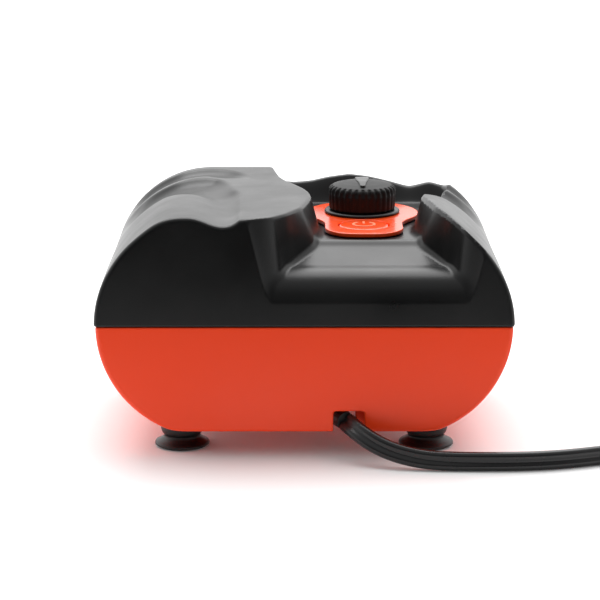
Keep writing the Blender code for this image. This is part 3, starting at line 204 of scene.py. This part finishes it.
def surface(field, low, high, step):
    """The surface where a field is zero, as points, four-sided faces and normals."""
    axes = [a + step * np.arange(int((b - a) / step) + 2) for a, b in zip(low, high)]
    values = np.stack([
        field(np.full((len(axes[1]), len(axes[2])), x), *np.meshgrid(axes[1], axes[2], indexing="ij"))
        for x in axes[0]
    ])
    inside = values < 0
    count = sum(
        inside[i:i + inside.shape[0] - 1, j:j + inside.shape[1] - 1, k:k + inside.shape[2] - 1]
        .astype(np.int8) for i in (0, 1) for j in (0, 1) for k in (0, 1)
    )
    cells = np.argwhere((count > 0) & (count < 8))
    number = np.full(count.shape, -1)
    number[tuple(cells.T)] = np.arange(len(cells))

    total = np.zeros((len(cells), 3))
    hits = np.zeros(len(cells))
    for axis in range(3):
        unit = np.eye(3, dtype=int)[axis]
        others = [np.eye(3, dtype=int)[i] for i in range(3) if i != axis]
        for i in (0, 1):
            for j in (0, 1):
                start = cells + i * others[0] + j * others[1]
                a = values[tuple(start.T)]
                b = values[tuple((start + unit).T)]
                crossed = (a < 0) != (b < 0)
                share = np.divide(a, a - b, out=np.zeros_like(a), where=crossed)
                total[crossed] += (start + share[:, None] * unit)[crossed]
                hits += crossed
    points = np.array(low) + step * total / hits[:, None]
    for _ in range(4):
        slope = slopes(field, points)
        move = slope * (field(*points.T) / np.maximum((slope**2).sum(1), 0.25))[:, None]
        length = np.linalg.norm(move, axis=1, keepdims=True)
        points = points - move * np.minimum(1, 0.5 * step / np.maximum(length, 1e-9))

    faces = []
    for axis in range(3):
        unit = np.eye(3, dtype=int)[axis]
        one, two = [np.eye(3, dtype=int)[(axis + i) % 3] for i in (1, 2)]
        a = inside[tuple(slice(0, n - u) for n, u in zip(inside.shape, unit))]
        b = inside[tuple(slice(u, n) for n, u in zip(inside.shape, unit))]
        for first, flip in ((a & ~b, False), (~a & b, True)):
            at = np.argwhere(first)
            ring = [at - one - two, at - two, at, at - one]
            quad = np.stack([number[tuple(r.T)] for r in ring], axis=1)
            faces.append(quad[:, ::-1] if flip else quad)
    slope = slopes(field, points, 0.15)
    normals = slope / np.maximum(np.linalg.norm(slope, axis=1, keepdims=True), 1e-9)
    return points, np.concatenate(faces), normals


def rounded(points, radius, steps=4):
    """A polyline with each of its corners rounded off."""
    points = [Vector(p) for p in points]
    out = [points[0]]
    for before, corner, after in zip(points, points[1:], points[2:]):
        a, b = before - corner, after - corner
        reach = min(radius, a.length * 0.45, b.length * 0.45)
        start, end = corner + a.normalized() * reach, corner + b.normalized() * reach
        for i in range(steps + 1):
            t = i / steps
            out.append(start * (1 - t) ** 2 + corner * 2 * t * (1 - t) + end * t**2)
    return out + [points[-1]]


def turned(profile, at, segments=96, axis="Z", ripple=None):
    """Points and faces of a closed (radius, height) profile spun about an axis."""
    points, faces = [], []
    for row, (radius, height) in enumerate(profile):
        for i in range(segments):
            angle = 2 * math.pi * i / segments
            r = radius if ripple is None else ripple(radius, height, angle)
            flat = (r * math.cos(angle), r * math.sin(angle))
            if axis == "Z":
                points.append((at[0] + flat[0], at[1] + flat[1], at[2] + height))
            else:
                points.append((at[0] + flat[0], at[1] + height, at[2] - flat[1]))
    rows = len(profile)
    for row in range(rows - 1):
        for i in range(segments):
            j = (i + 1) % segments
            a, b = row * segments, (row + 1) * segments
            faces.append((a + i, b + i, b + j, a + j))
    return points, faces


def smooth_values(at, values, spread, low, high, step=0.2):
    """A table of values between given places, softened over a distance."""
    places = np.arange(low, high + step, step)
    plain = np.interp(places, at, values)
    reach = int(3 * spread / step)
    weights = np.exp(-0.5 * (np.arange(-reach, reach + 1) * step / spread) ** 2)
    padded = np.pad(plain, reach, mode="edge")
    return places, np.convolve(padded, weights / weights.sum(), mode="valid")


def rise(low, high, value):
    t = np.clip((value - low) / (high - low), 0, 1)
    return t * t * (3 - 2 * t)


def curve_through(points, per=12):
    """A smooth line through points."""
    points = [np.array(p, float) for p in points]
    points = [2 * points[0] - points[1], *points, 2 * points[-1] - points[-2]]
    out = []
    for a, b, c, d in zip(points, points[1:], points[2:], points[3:]):
        for i in range(per):
            t = i / per
            out.append(0.5 * (2 * b + (c - a) * t + (2 * a - 5 * b + 4 * c - d) * t**2
                              + (3 * b - a - 3 * c + d) * t**3))
    return np.array(out + [points[-2]])


# ---------------------------------------------------------------- view and light

scene = bpy.context.scene
scene.view_settings.view_transform = "Standard"
camera = bpy.data.objects.new("camera", bpy.data.cameras.new("camera"))
scene.collection.objects.link(camera)
camera.location = (-0.0028, -0.861, 0.250)
camera.rotation_euler = (math.radians(90 - 13.44), 0, math.radians(-0.09))
camera.data.lens = 138.36
camera.data.sensor_width = 36
scene.camera = camera


def add_world():
    world = bpy.data.worlds.new("studio")
    scene.world = world
    world.use_nodes = True
    tree = world.node_tree
    sky = tree.nodes["Background"]
    sky.inputs["Color"].default_value = (1, 1, 1, 1)
    place = add(tree, "ShaderNodeTexCoord")
    parts = add(tree, "ShaderNodeSeparateXYZ")
    link(tree, place.outputs["Generated"], parts.inputs["Vector"])
    behind = add(tree, "ShaderNodeMapRange", interpolation_type="SMOOTHSTEP")
    behind.inputs["From Min"].default_value = -0.15
    behind.inputs["From Max"].default_value = 0.75
    behind.inputs["To Min"].default_value = 0.06
    behind.inputs["To Max"].default_value = 1.5
    link(tree, parts.outputs["Y"], behind.inputs["Value"])
    up = add(tree, "ShaderNodeMapRange", interpolation_type="SMOOTHSTEP")
    up.inputs["From Min"].default_value = -0.15
    up.inputs["From Max"].default_value = 0.0
    up.inputs["To Min"].default_value = 0.25
    up.inputs["To Max"].default_value = 1.0
    link(tree, parts.outputs["Z"], up.inputs["Value"])
    both = add(tree, "ShaderNodeMath", operation="MULTIPLY")
    link(tree, behind.outputs["Result"], both.inputs[0])
    link(tree, up.outputs["Result"], both.inputs[1])
    above = add(tree, "ShaderNodeMapRange", interpolation_type="SMOOTHSTEP")
    above.inputs["From Min"].default_value = 0.15
    above.inputs["From Max"].default_value = 0.8
    above.inputs["To Min"].default_value = 0.0
    above.inputs["To Max"].default_value = 0.55
    link(tree, parts.outputs["Z"], above.inputs["Value"])
    across = add(tree, "ShaderNodeMath", operation="ABSOLUTE")
    link(tree, parts.outputs["X"], across.inputs[0])
    beside = add(tree, "ShaderNodeMapRange", interpolation_type="SMOOTHSTEP")
    beside.inputs["From Min"].default_value = 0.55
    beside.inputs["From Max"].default_value = 1.0
    beside.inputs["To Min"].default_value = 0.0
    beside.inputs["To Max"].default_value = 0.9
    link(tree, across.outputs["Value"], beside.inputs["Value"])
    upper = add(tree, "ShaderNodeMath", operation="ADD")
    link(tree, both.outputs["Value"], upper.inputs[0])
    link(tree, above.outputs["Result"], upper.inputs[1])
    strength = add(tree, "ShaderNodeMath", operation="ADD")
    link(tree, upper.outputs["Value"], strength.inputs[0])
    link(tree, beside.outputs["Result"], strength.inputs[1])
    link(tree, strength.outputs["Value"], sky.inputs["Strength"])


def add_light(name, at, aim, size, power):
    data = bpy.data.lights.new(name, "AREA")
    data.shape = "RECTANGLE"
    data.size, data.size_y = size
    data.energy = power
    lamp = bpy.data.objects.new(name, data)
    scene.collection.objects.link(lamp)
    lamp.location = at
    lamp.rotation_euler = (Vector(aim) - Vector(at)).to_track_quat("-Z", "Y").to_euler()


def add_floor():
    mesh = bpy.data.meshes.new("floor")
    front, back, side = -0.215, 7.0, 5.0
    mesh.from_pydata([(-side, front, 0), (side, front, 0), (side, back, 0), (-side, back, 0)],
                     [], [(0, 1, 2, 3)])
    floor = bpy.data.objects.new("floor", mesh)
    scene.collection.objects.link(floor)
    paper = plastic("white paper", (0.9, 0.9, 0.9), 0.8, grain=0.02)
    shader = paper.node_tree.nodes["Principled BSDF"]
    shader.inputs["Emission Color"].default_value = (1, 1, 1, 1)
    shader.inputs["Emission Strength"].default_value = 0.03
    mesh.materials.append(paper)


add_world()
add_light("overhead", (0.0, 0.75, 1.5), (0, 0.75, 0), (1.6, 1.6), 30.0)
add_floor()


# ---------------------------------------------------------------- cord

CORD_ROUTE = [
    (15.4, -53.9, 13.4), (16.3, -56.4, 13.2), (18.5, -59.5, 12.1), (21.8, -62.3, 10.2),
    (26.3, -64.8, 8.0), (31.8, -66.8, 6.1), (38.2, -68.3, 4.7), (45.5, -69.2, 3.8),
    (55.5, -69.7, 3.55), (68.9, -69.8, 3.55), (80, -69.2, 3.55), (90, -67.5, 3.55),
    (99, -64.9, 3.55), (107, -62, 3.55), (115, -59.4, 3.55), (123, -57.4, 3.55),
    (130, -56.4, 3.55),
]
COIL_CENTRE = (162.0, -14.0)
COIL_TURNS = [
    (-121, 48.5, 3.55), (-60, 41.5, 3.55), (239, 41.5, 3.55), (300, 37, 3.55), (599, 37, 3.55),
    (660, 32.5, 3.55), (959, 32.5, 3.55), (990, 30.8, 7), (1020, 32.5, 10.6),
    (1290, 32.5, 10.6), (1340, 37, 10.6), (1650, 37, 10.6), (1700, 41.5, 10.6),
    (1970, 41.5, 10.6), (2060, 40.5, 17.9), (2180, 37, 17.9), (2218, 37, 19.2),
]
PLUG_FRONT = 143.0
PLUG_BACK = 168.0
PLUG_AT = (23.0, 19.8)


def cord_line():
    """The cord's centreline from the strain relief through the coil to the plug."""
    turns = np.array(COIL_TURNS, float)
    coil = []
    for angle in np.arange(turns[0, 0] + 12, turns[-1, 0] + 0.1, 6):
        radius = np.interp(angle, turns[:, 0], turns[:, 1])
        height = np.interp(angle, turns[:, 0], turns[:, 2])
        a = math.radians(angle)
        coil.append((COIL_CENTRE[0] + radius * math.cos(a),
                     COIL_CENTRE[1] + radius * math.sin(a), height))
    ends = [(PLUG_BACK + run, *PLUG_AT) for run in (7, 3.5, 0.2)]
    line = curve_through([*CORD_ROUTE, *coil, *ends], 8)
    keep = [0]
    for i in range(1, len(line)):
        if np.linalg.norm(line[i] - line[keep[-1]]) > 1.8 or i == len(line) - 1:
            keep.append(i)
    line = line[keep]
    for _ in range(3):
        line[1:-1] = 0.25 * line[:-2] + 0.5 * line[1:-1] + 0.25 * line[2:]
    return line


def make_cord():
    line = cord_line()
    run = np.concatenate([[0], np.cumsum(np.linalg.norm(np.diff(line, axis=0), axis=1))])
    tangent = np.gradient(line, axis=0)
    tangent /= np.linalg.norm(tangent, axis=1, keepdims=True)
    view = np.array((0, 0.973, -0.232))
    up = np.array((0, 0, 1.0))
    lobe = 1.75
    outline = []
    for side in (1, -1):
        for i in range(11):
            angle = math.radians(-142 + 284 * i / 10)
            outline.append((side * (lobe + lobe * math.cos(angle)), side * lobe * math.sin(angle)))
    points, faces = [], []
    for p, t, far in zip(line, tangent, run):
        facing = np.cross(t, view)
        facing /= np.linalg.norm(facing)
        stand = rise(24, 64, far)
        wide = facing * (1 - stand) + up * stand
        lie = rise(run[-1] - 50, run[-1] - 8, far)
        wide = wide * (1 - lie) + np.array((0, 1, 0)) * lie
        wide = wide - t * wide.dot(t)
        wide /= np.linalg.norm(wide)
        thin = np.cross(t, wide)
        points += [p + a * wide + b * thin for a, b in outline]
    n = len(outline)
    for row in range(len(line) - 1):
        for i in range(n):
            j = (i + 1) % n
            faces.append((row * n + i, row * n + j, (row + 1) * n + j, (row + 1) * n + i))
    faces.append(tuple(reversed(range(n))))
    faces.append(tuple(range((len(line) - 1) * n, len(line) * n)))
    cord = piece("mains_cord", points, faces, "housing", "cord",
                 ("power_cord", "cord_coil", "cord_tail"), sharp=60)
    return cord, metres(line), run[-1] / 1000


def make_plug():
    y, z = PLUG_AT
    middle, half = (PLUG_FRONT + PLUG_BACK) / 2, (PLUG_BACK - PLUG_FRONT) / 2

    def field(px, py, pz):
        taper = 1.6 * rise(middle, PLUG_BACK, px)
        ends = np.abs(px - middle) - half
        flat = meet(np.abs(py - y) - 9.0 + taper, np.abs(pz - z) - 5.45 + taper * 0.6, 3.2)
        body = meet(flat, ends, 2.4)
        groove = np.abs(np.mod(px - PLUG_BACK + 11, 2.6) - 1.3) - 0.55
        grip = np.maximum(np.maximum(groove, px - PLUG_BACK + 3), PLUG_BACK - 12 - px)
        band = np.maximum(grip, -(flat + 0.6))
        return np.maximum(body, -band)

    mesh = surface(field, (PLUG_FRONT - 1, y - 10, z - 6.5), (PLUG_BACK + 1, y + 10, z + 6.5), 0.42)
    return piece("plug_body", mesh[0], mesh[1], "housing", "cord", ("power_plug",), mesh[2])


cord, cord_path, cord_length = make_cord()
plug = make_plug()
tuple(cord_path[0])


# ---------------------------------------------------------------- casing

CREST = [(23, -64), (23, -34), (24, -6), (26.8, 4.7), (29.5, 17.2), (33.3, 24.6), (40.2, 27.4),
         (54, 29), (59.7, 30.5), (63.3, 33.9), (67.2, 37.5), (76, 47), (84, 57)]
SECOND_CREST = [(20, 26), (22, 33), (25.5, 40), (30.6, 45), (37, 47), (48.6, 47.5), (58, 49), (66, 52),
                (74, 58)]
MOUTH = [(-62, 52), (-54.3, 45.5), (-52.4, 40.5), (-50.2, 35.4), (-43.2, 29.8), (-31.4, 24.2),
         (-16.1, 21.4), (-9.2, 20.7), (0, 21.4), (7.7, 23.3), (17.3, 27.2), (23.6, 30), (32, 32.6),
         (44, 34.2), (62, 36.5)]
BAY_X = 23.3
REAR = [(-20, 86), (-12, 84), (-8, 83), (-3.7, 82.6), (3, 83.2), (10, 84.8), (18.3, 85.9), (26, 84.9),
        (33, 83.3), (38, 81.9), (42, 80.8), (46, 81.8), (50, 82.8), (54, 81.6), (60, 80)]
ROLL = 11.7
RAMP = [(-60, 40), (-54.3, 55)] + [
    (-42.5 - ROLL * math.sin(math.radians(a)), 68.8 - ROLL * (1 - math.cos(math.radians(a))))
    for a in range(84, -1, -12)
] + [(-29.5, 73.4), (-27.6, 75.1), (38.2, 75.1), (48, 75.1)]
LEAN = [(-60, 0.3), (-54, 0.27), (-50, 0.15), (-45, 0.05), (-42, 0.06), (-37, 0.15), (-29, 0.36),
        (-18, 0.36), (-8, 0.25), (4, 0.141), (60, 0.141)]


def dip_table():
    """How far the shoulders lie below their plain round shape, over the plan."""
    xs, ys = np.meshgrid(np.arange(0, 82, 0.5), np.arange(-60, 62, 0.5), indexing="ij")
    total = np.zeros(xs.shape)
    near = 1 - rise(-12, 14, ys)
    for crest, depth, bite, tail in (
        (CREST, 3.0 + 0.3 * (1 - near), 2.4 + 1.2 * (1 - near),
         (5 + 4 * (1 - near), 18 + 15 * (1 - near))),
        (SECOND_CREST, 2.6 * rise(25, 40, ys), 3.0, (7, 17)),
    ):
        line = curve_through(crest, 8)
        nearest = np.full(xs.shape, 1e9)
        side = np.zeros(xs.shape)
        for (ax, ay), (bx, by) in zip(line, line[1:]):
            length = (bx - ax) ** 2 + (by - ay) ** 2
            t = np.clip(((xs - ax) * (bx - ax) + (ys - ay) * (by - ay)) / length, 0, 1)
            away = np.hypot(xs - ax - t * (bx - ax), ys - ay - t * (by - ay))
            closer = away < nearest
            nearest = np.where(closer, away, nearest)
            cross = (bx - ax) * (ys - ay) - (by - ay) * (xs - ax)
            side = np.where(closer, cross, side)
        deep = (1 - np.exp(-nearest / bite)) * (1 - rise(*tail, nearest))
        total += np.where(side > 0, 0, deep * depth)
    total *= 1 - rise(60, 71, xs)
    swell = 2.1 * np.exp(-0.5 * ((xs - 50.5) / 7.5) ** 2) + 0.5 * rise(56, 66, xs)
    total -= swell * (1 - 0.9 * rise(-34, 22, ys))
    kernel = np.exp(-0.5 * (np.arange(-3, 4) / 1.3) ** 2)
    kernel /= kernel.sum()
    for axis in (0, 1):
        total = np.apply_along_axis(
            lambda row: np.convolve(np.pad(row, 3, mode="edge"), kernel, "valid"), axis, total)
    return total


DIP = dip_table()
MOUTH_AT, MOUTH_HALF = smooth_values(*np.array(MOUTH, float).T, 1.3, -66, 66)
REAR_AT, REAR_HEIGHT = smooth_values(*np.array(REAR, float).T, 1.2, -30, 70)
RAMP_AT, RAMP_HEIGHT = smooth_values(*np.array(RAMP, float).T, 0.9, -60, 66)
RAMP_STEEP = np.sqrt(1 + np.gradient(RAMP_HEIGHT, RAMP_AT) ** 2)
LEAN_AT, LEAN_TAN = smooth_values(*np.array(LEAN, float).T, 3.0, -66, 66)


def dip(x, y):
    i = np.clip(np.abs(x) * 2, 0, DIP.shape[0] - 2)
    j = np.clip((y + 60) * 2, 0, DIP.shape[1] - 2)
    a, b = i.astype(int), j.astype(int)
    u, v = i - a, j - b
    return ((DIP[a, b] * (1 - u) + DIP[a + 1, b] * u) * (1 - v)
            + (DIP[a, b + 1] * (1 - u) + DIP[a + 1, b + 1] * u) * v)


def over_bay(x, y, z):
    """How far a place lies above the bay's floor, ramp and rear crest."""
    crest = np.interp(x, REAR_AT, REAR_HEIGHT)
    rear = 75.1 + (crest - 75.1) * rise(42.0, 48.0, y) - 4.5 * rise(48.0, 64, y)
    floor = np.where(y > 20, rear, np.interp(y, RAMP_AT, RAMP_HEIGHT))
    return (z - floor) / np.interp(y, RAMP_AT, RAMP_STEEP)


def bay_wall(x, y, z):
    """Below zero between the bay's leaning side walls."""
    half = np.interp(y, MOUTH_AT, MOUTH_HALF) - np.interp(y, LEAN_AT, LEAN_TAN) * (TOP_Z - z)
    return np.abs(x - BAY_X) - half


def dome(x, y, z):
    across = np.maximum(np.abs(x) - (HALF_WIDTH - TOP_RADIUS), 0)
    return np.hypot(across, np.maximum(z - SEAM_Z, 0)) - TOP_RADIUS + dip(x, y)


def bores(x, y, value, places, radius):
    for px, py in places:
        value = np.maximum(value, radius - np.hypot(x - px, y - py))
    return value


def upper_field(x, y, z):
    ramp = over_bay(x, y, z)
    bay = meet(bay_wall(x, y, z), -ramp, 2.2)
    top = dome(x, y, z)
    solid = meet(top, -bay, 1.1)
    bevel = 0.5 * top - 0.866 * bay + 1.5 * rise(30, 40, x) - 0.8
    solid = np.maximum(solid, np.where((x > 30) & (z > 66), bevel, solid))
    keep = rise(-3.0, 0.5, top + bay)
    solid = meet(solid, np.abs(y) - HALF_DEPTH, 0.15 + 1.35 * keep)
    solid = meet(solid, SEAM_Z + GAP / 2 - z, 0.35)

    hollow = np.maximum(top + WALL, np.maximum(y - HALF_DEPTH + WALL, -y - 46))
    hollow = np.maximum(hollow, WALL - meet(bay_wall(x, y, z), -ramp, 1.0))
    hollow = bores(x, y, hollow, SCREWS, 4.0)
    solid = np.maximum(solid, -hollow)
    for px, py in SCREWS:
        solid = np.maximum(solid, -np.maximum(np.hypot(x - px, y - py) - 1.8, z - 62.3))
    for py, radius in ((KNOB_Y, 4.8), (BUTTON_Y, 9.6)):
        solid = np.maximum(solid, radius - np.hypot(x - CONTROL_X, y - py))
    return solid


def under(x, z, inset):
    across = np.maximum(np.abs(x) - (HALF_WIDTH - LOWER_RADIUS), 0)
    return np.hypot(across, np.minimum(z - SEAM_Z, 0)) - LOWER_RADIUS + inset


def box(x, y, z, low, high):
    out = np.maximum(low[0] - x, x - high[0])
    out = np.maximum(out, np.maximum(low[1] - y, y - high[1]))
    return np.maximum(out, np.maximum(low[2] - z, z - high[2]))


def lower_field(x, y, z):
    solid = meet(under(x, z, 0), np.abs(y) - HALF_DEPTH, 1.7)
    solid = meet(solid, z - SEAM_Z + GAP / 2, 0.35)
    solid = meet(solid, SKIRT_Z - z, 1.0)
    walls = np.maximum(under(x, z, WALL), np.abs(y) - HALF_DEPTH + WALL)
    inside = np.maximum(walls, FLOOR_Z + WALL - z)
    inside = bores(x, y, inside, SCREWS, 4.6)
    below = np.maximum(walls, z - FLOOR_Z)
    below = bores(x, y, below, FEET, 6.0)
    below = np.maximum(below, -box(x, y, z, (18.6, -47.4, 0), (34, -45, 20)))
    solid = np.maximum(solid, -meet(below, z - FLOOR_Z, 0.5))
    solid = np.maximum(solid, -inside)
    for px, py in FEET:
        solid = np.maximum(solid, -np.maximum(np.hypot(x - px, y - py) - 2.8, z - 15.0))
    for px, py in SCREWS:
        away = np.hypot(x - px, y - py)
        solid = np.maximum(solid, -np.maximum(away - 3.2, z - 40.0))
        solid = np.maximum(solid, 1.8 - away)
    notch = meet(np.abs(x - 16.1) - 5.6, z - 17.4, 1.0)
    notch = np.maximum(notch, np.maximum(y + HALF_DEPTH - WALL - 1, -y - HALF_DEPTH - 2))
    solid = meet(solid, -notch, 0.5)
    hole = np.maximum(np.hypot(x - 7.6, y + 32) - 4.3, z - FLOOR_Z - WALL - 1)
    solid = np.maximum(solid, -hole)
    for side in (-OUTLET_X, OUTLET_X):
        outlet = np.maximum(np.hypot(x - side, z - OUTLET_Z) - 4.3, 50 - y)
        solid = np.maximum(solid, -outlet)
    return np.maximum(solid, -box(x, y, z, (-20, -7, 16), (20, 19, 22)))


def make_casing():
    step = CASING_CELL
    mesh = surface(upper_field, (-76.6, -55.3, 47.6), (76.6, 55.3, 90.8), step)
    piece("upper_casing", mesh[0], mesh[1], "housing", "black_shell", ("upper_shell",), mesh[2])
    mesh = surface(lower_field, (-76.6, -55.3, 8.6), (76.6, 55.3, 49.6), step)
    piece("lower_casing", mesh[0], mesh[1], "housing", "orange_shell", ("lower_shell",), mesh[2])


make_casing()


# ---------------------------------------------------------------- controls

def make_panel():
    def outline(x, y):
        plate = np.hypot(x - CONTROL_X, y - KNOB_Y) - PLATE_RADIUS
        bow = 2.6 * (np.abs(x - CONTROL_X) / TONGUE_HALF) ** 2
        tongue = meet(np.abs(x - CONTROL_X) - TONGUE_HALF, -y - 25.2 + bow, 9.0)
        return join(plate, np.maximum(tongue, y - KNOB_Y), 4.0)

    def field(x, y, z):
        solid = meet(outline(x, y), np.abs(z - 76.2) - 0.8, 0.45)
        hole = np.minimum(np.hypot(x - CONTROL_X, y - BUTTON_Y) - 9.6,
                          np.hypot(x - CONTROL_X, y - KNOB_Y) - 5.1)
        return meet(solid, -hole, 0.35)

    step = 0.33
    mesh = surface(field, (0, -26, 75), (44.8, 38.5, 77.5), step)
    piece("orange_plate", mesh[0], mesh[1], "housing", "orange_panel", ("control_panel",), mesh[2])


def closed(profile):
    """A profile whose points on the axis are kept just off it, so no faces fold up there."""
    return [(max(r, 0.001), h) for r, h in profile]


def make_button():
    top = PANEL_TOP
    profile = rounded([(0, top), (8.7, top), (9.3, top - 0.6), (9.3, 72.5), (10.4, 72.5),
                       (10.4, 71.6), (3, 71.6), (3, 70.9), (0, 70.9)], 0.35)
    points, faces = turned(closed(profile), (CONTROL_X, BUTTON_Y, 0))
    piece("button_cap", points, faces, "button", "orange_panel", ("power_button",), sharp=50)

    ring = rounded([(3.5, top + 0.05), (3.5, top + 0.32), (4.4, top + 0.32), (4.4, top + 0.05)], 0.15)
    points, faces = [], []
    start, sweep, steps = math.radians(125), math.radians(290), 60
    for i in range(steps + 1):
        angle = start + sweep * i / steps
        for r, h in ring:
            points.append((CONTROL_X + r * math.cos(angle), BUTTON_Y + r * math.sin(angle), h))
    n = len(ring)
    for i in range(steps):
        for j in range(n):
            k = (j + 1) % n
            faces.append((i * n + j, i * n + k, (i + 1) * n + k, (i + 1) * n + j))
    faces += [tuple(reversed(range(n))), tuple(range(steps * n, steps * n + n))]
    piece("button_mark_ring", points, faces, "button", "orange_panel", sharp=50, finish=ICON)

    def bar(x, y, z):
        plan = meet(np.abs(x - CONTROL_X) - 0.45, np.abs(y - BUTTON_Y - 2.8) - 2.0, 0.4)
        return meet(plan, np.abs(z - top - 0.18) - 0.14, 0.1)

    mesh = surface(bar, (CONTROL_X - 0.8, BUTTON_Y, top - 0.2),
                   (CONTROL_X + 0.8, BUTTON_Y + 5.4, top + 0.6), 0.12)
    piece("button_mark_bar", mesh[0], mesh[1], "button", "orange_panel", (), mesh[2], finish=ICON)


def make_knob():
    profile = rounded([
        (5.1, 78.3), (13.9, 78.3), (14.4, 77.8), (14.4, 77.3), (5.1, 77.3), (5.1, 78.3),
    ], 0.3)
    points, faces = turned(profile, (CONTROL_X, KNOB_Y, 0), 128)
    piece("knob_collar", points, faces, "housing", "black_shell", ("knob_bezel",), sharp=50)

    top, low = KNOB_TOP, 78.6
    profile = rounded([
        (0, top), (4, top - 0.1), (8, top - 0.6), (11.2, top - 1.4), (12.4, top - 2.1),
        (12.8, top - 2.9), (12.8, top - 5), (12.6, low), (3.3, low), (3.3, top - 3), (0, top - 3),
    ], 0.5, 5)

    def ripple(radius, height, angle):
        share = rise(10.8, 12.4, radius) * (0.3 + 0.7 * rise(top - 5.0, top - 2.8, height))
        wave = (0.5 - 0.5 * math.cos(angle * 30)) ** 1.3
        return radius - 0.9 * wave * float(share)

    points, faces = turned(closed(profile), (CONTROL_X, KNOB_Y, 0), 480, ripple=ripple)
    piece("knob_cap", points, faces, "knob", "black_knob", ("control_knob",), sharp=60)

    def pointer(x, y, z):
        away = KNOB_Y - y
        half = 2.6 - 1.6 * rise(-6, 10, away)
        plan = meet(np.abs(x - CONTROL_X) - half, np.abs(away - 1.5) - 8.0, 0.8)
        crown = top + 0.25 - 0.75 * np.clip((np.abs(away) - 3) / 7, 0, 2) ** 1.5
        return meet(plan, np.abs(z - crown + 0.6) - 0.9, 0.3)

    mesh = surface(pointer, (CONTROL_X - 3.2, KNOB_Y - 10.4, top - 2.8),
                   (CONTROL_X + 3.2, KNOB_Y + 7.4, top + 1.0), 0.25)
    piece("knob_pointer", mesh[0], mesh[1], "knob", "black_knob", (), mesh[2], finish=MARK)


def make_feet():
    names = ("foot_front_left", "foot_front_right", "foot_rear_left", "foot_rear_right")
    profile = rounded([
        (0, 14.4), (2.5, 14.4), (2.5, 9.4), (6.9, 9.4), (7.7, 8.3), (7.85, 6.8), (7.4, 5.2),
        (6.7, 4.3), (6.8, 3.5), (8.2, 2.4), (10.0, 1.5), (10.1, 0.8), (8.8, 0), (0, 0),
    ], 0.5)
    for name, (x, y) in zip(names, FEET):
        points, faces = turned(closed(profile), (x, y, 0))
        rubber = name.replace("foot", "rubber_foot")
        piece(rubber, points, faces, "housing", "black_rubber", (name,), sharp=55)


make_panel()
make_button()
make_knob()
make_feet()


# ---------------------------------------------------------------- carried CAD nodes

SLOT_OF = {
    "black_shell": ("outlet_nozzle",),
    "black_rubber": ("strain_relief", "valve_flap", "diaphragm", "vibration_mount", "cord_tie"),
    "brass": ("plug_blade",),
    "steel": ("screw", "pivot_pin", "swing_arm", "knob_shaft"),
    "core_steel": ("motor_core", "core_end_bar"),
    "copper": ("coil_winding",),
    "magnet": ("magnet",),
    "circuit_board": ("control_board",),
    "felt": ("filter_felt",),
    "silicone": ("air_tube",),
    "orange_shell": ("filter_cover",),
    "white_plastic": ("air_chamber", "switch_plunger", "coil_bobbin"),
    "cord": ("supply_lead", "coil_lead"),
    "grey_plastic": ("potentiometer", "power_switch", "board_capacitor", "valve_plate",
                     "vibrator_tray"),
}
for name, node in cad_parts.items():
    found = [slot for slot, starts in SLOT_OF.items() if name.startswith(starts)]
    if found:
        node.data.materials.clear()
        node.data.materials.append(FINISHES[found[0]])
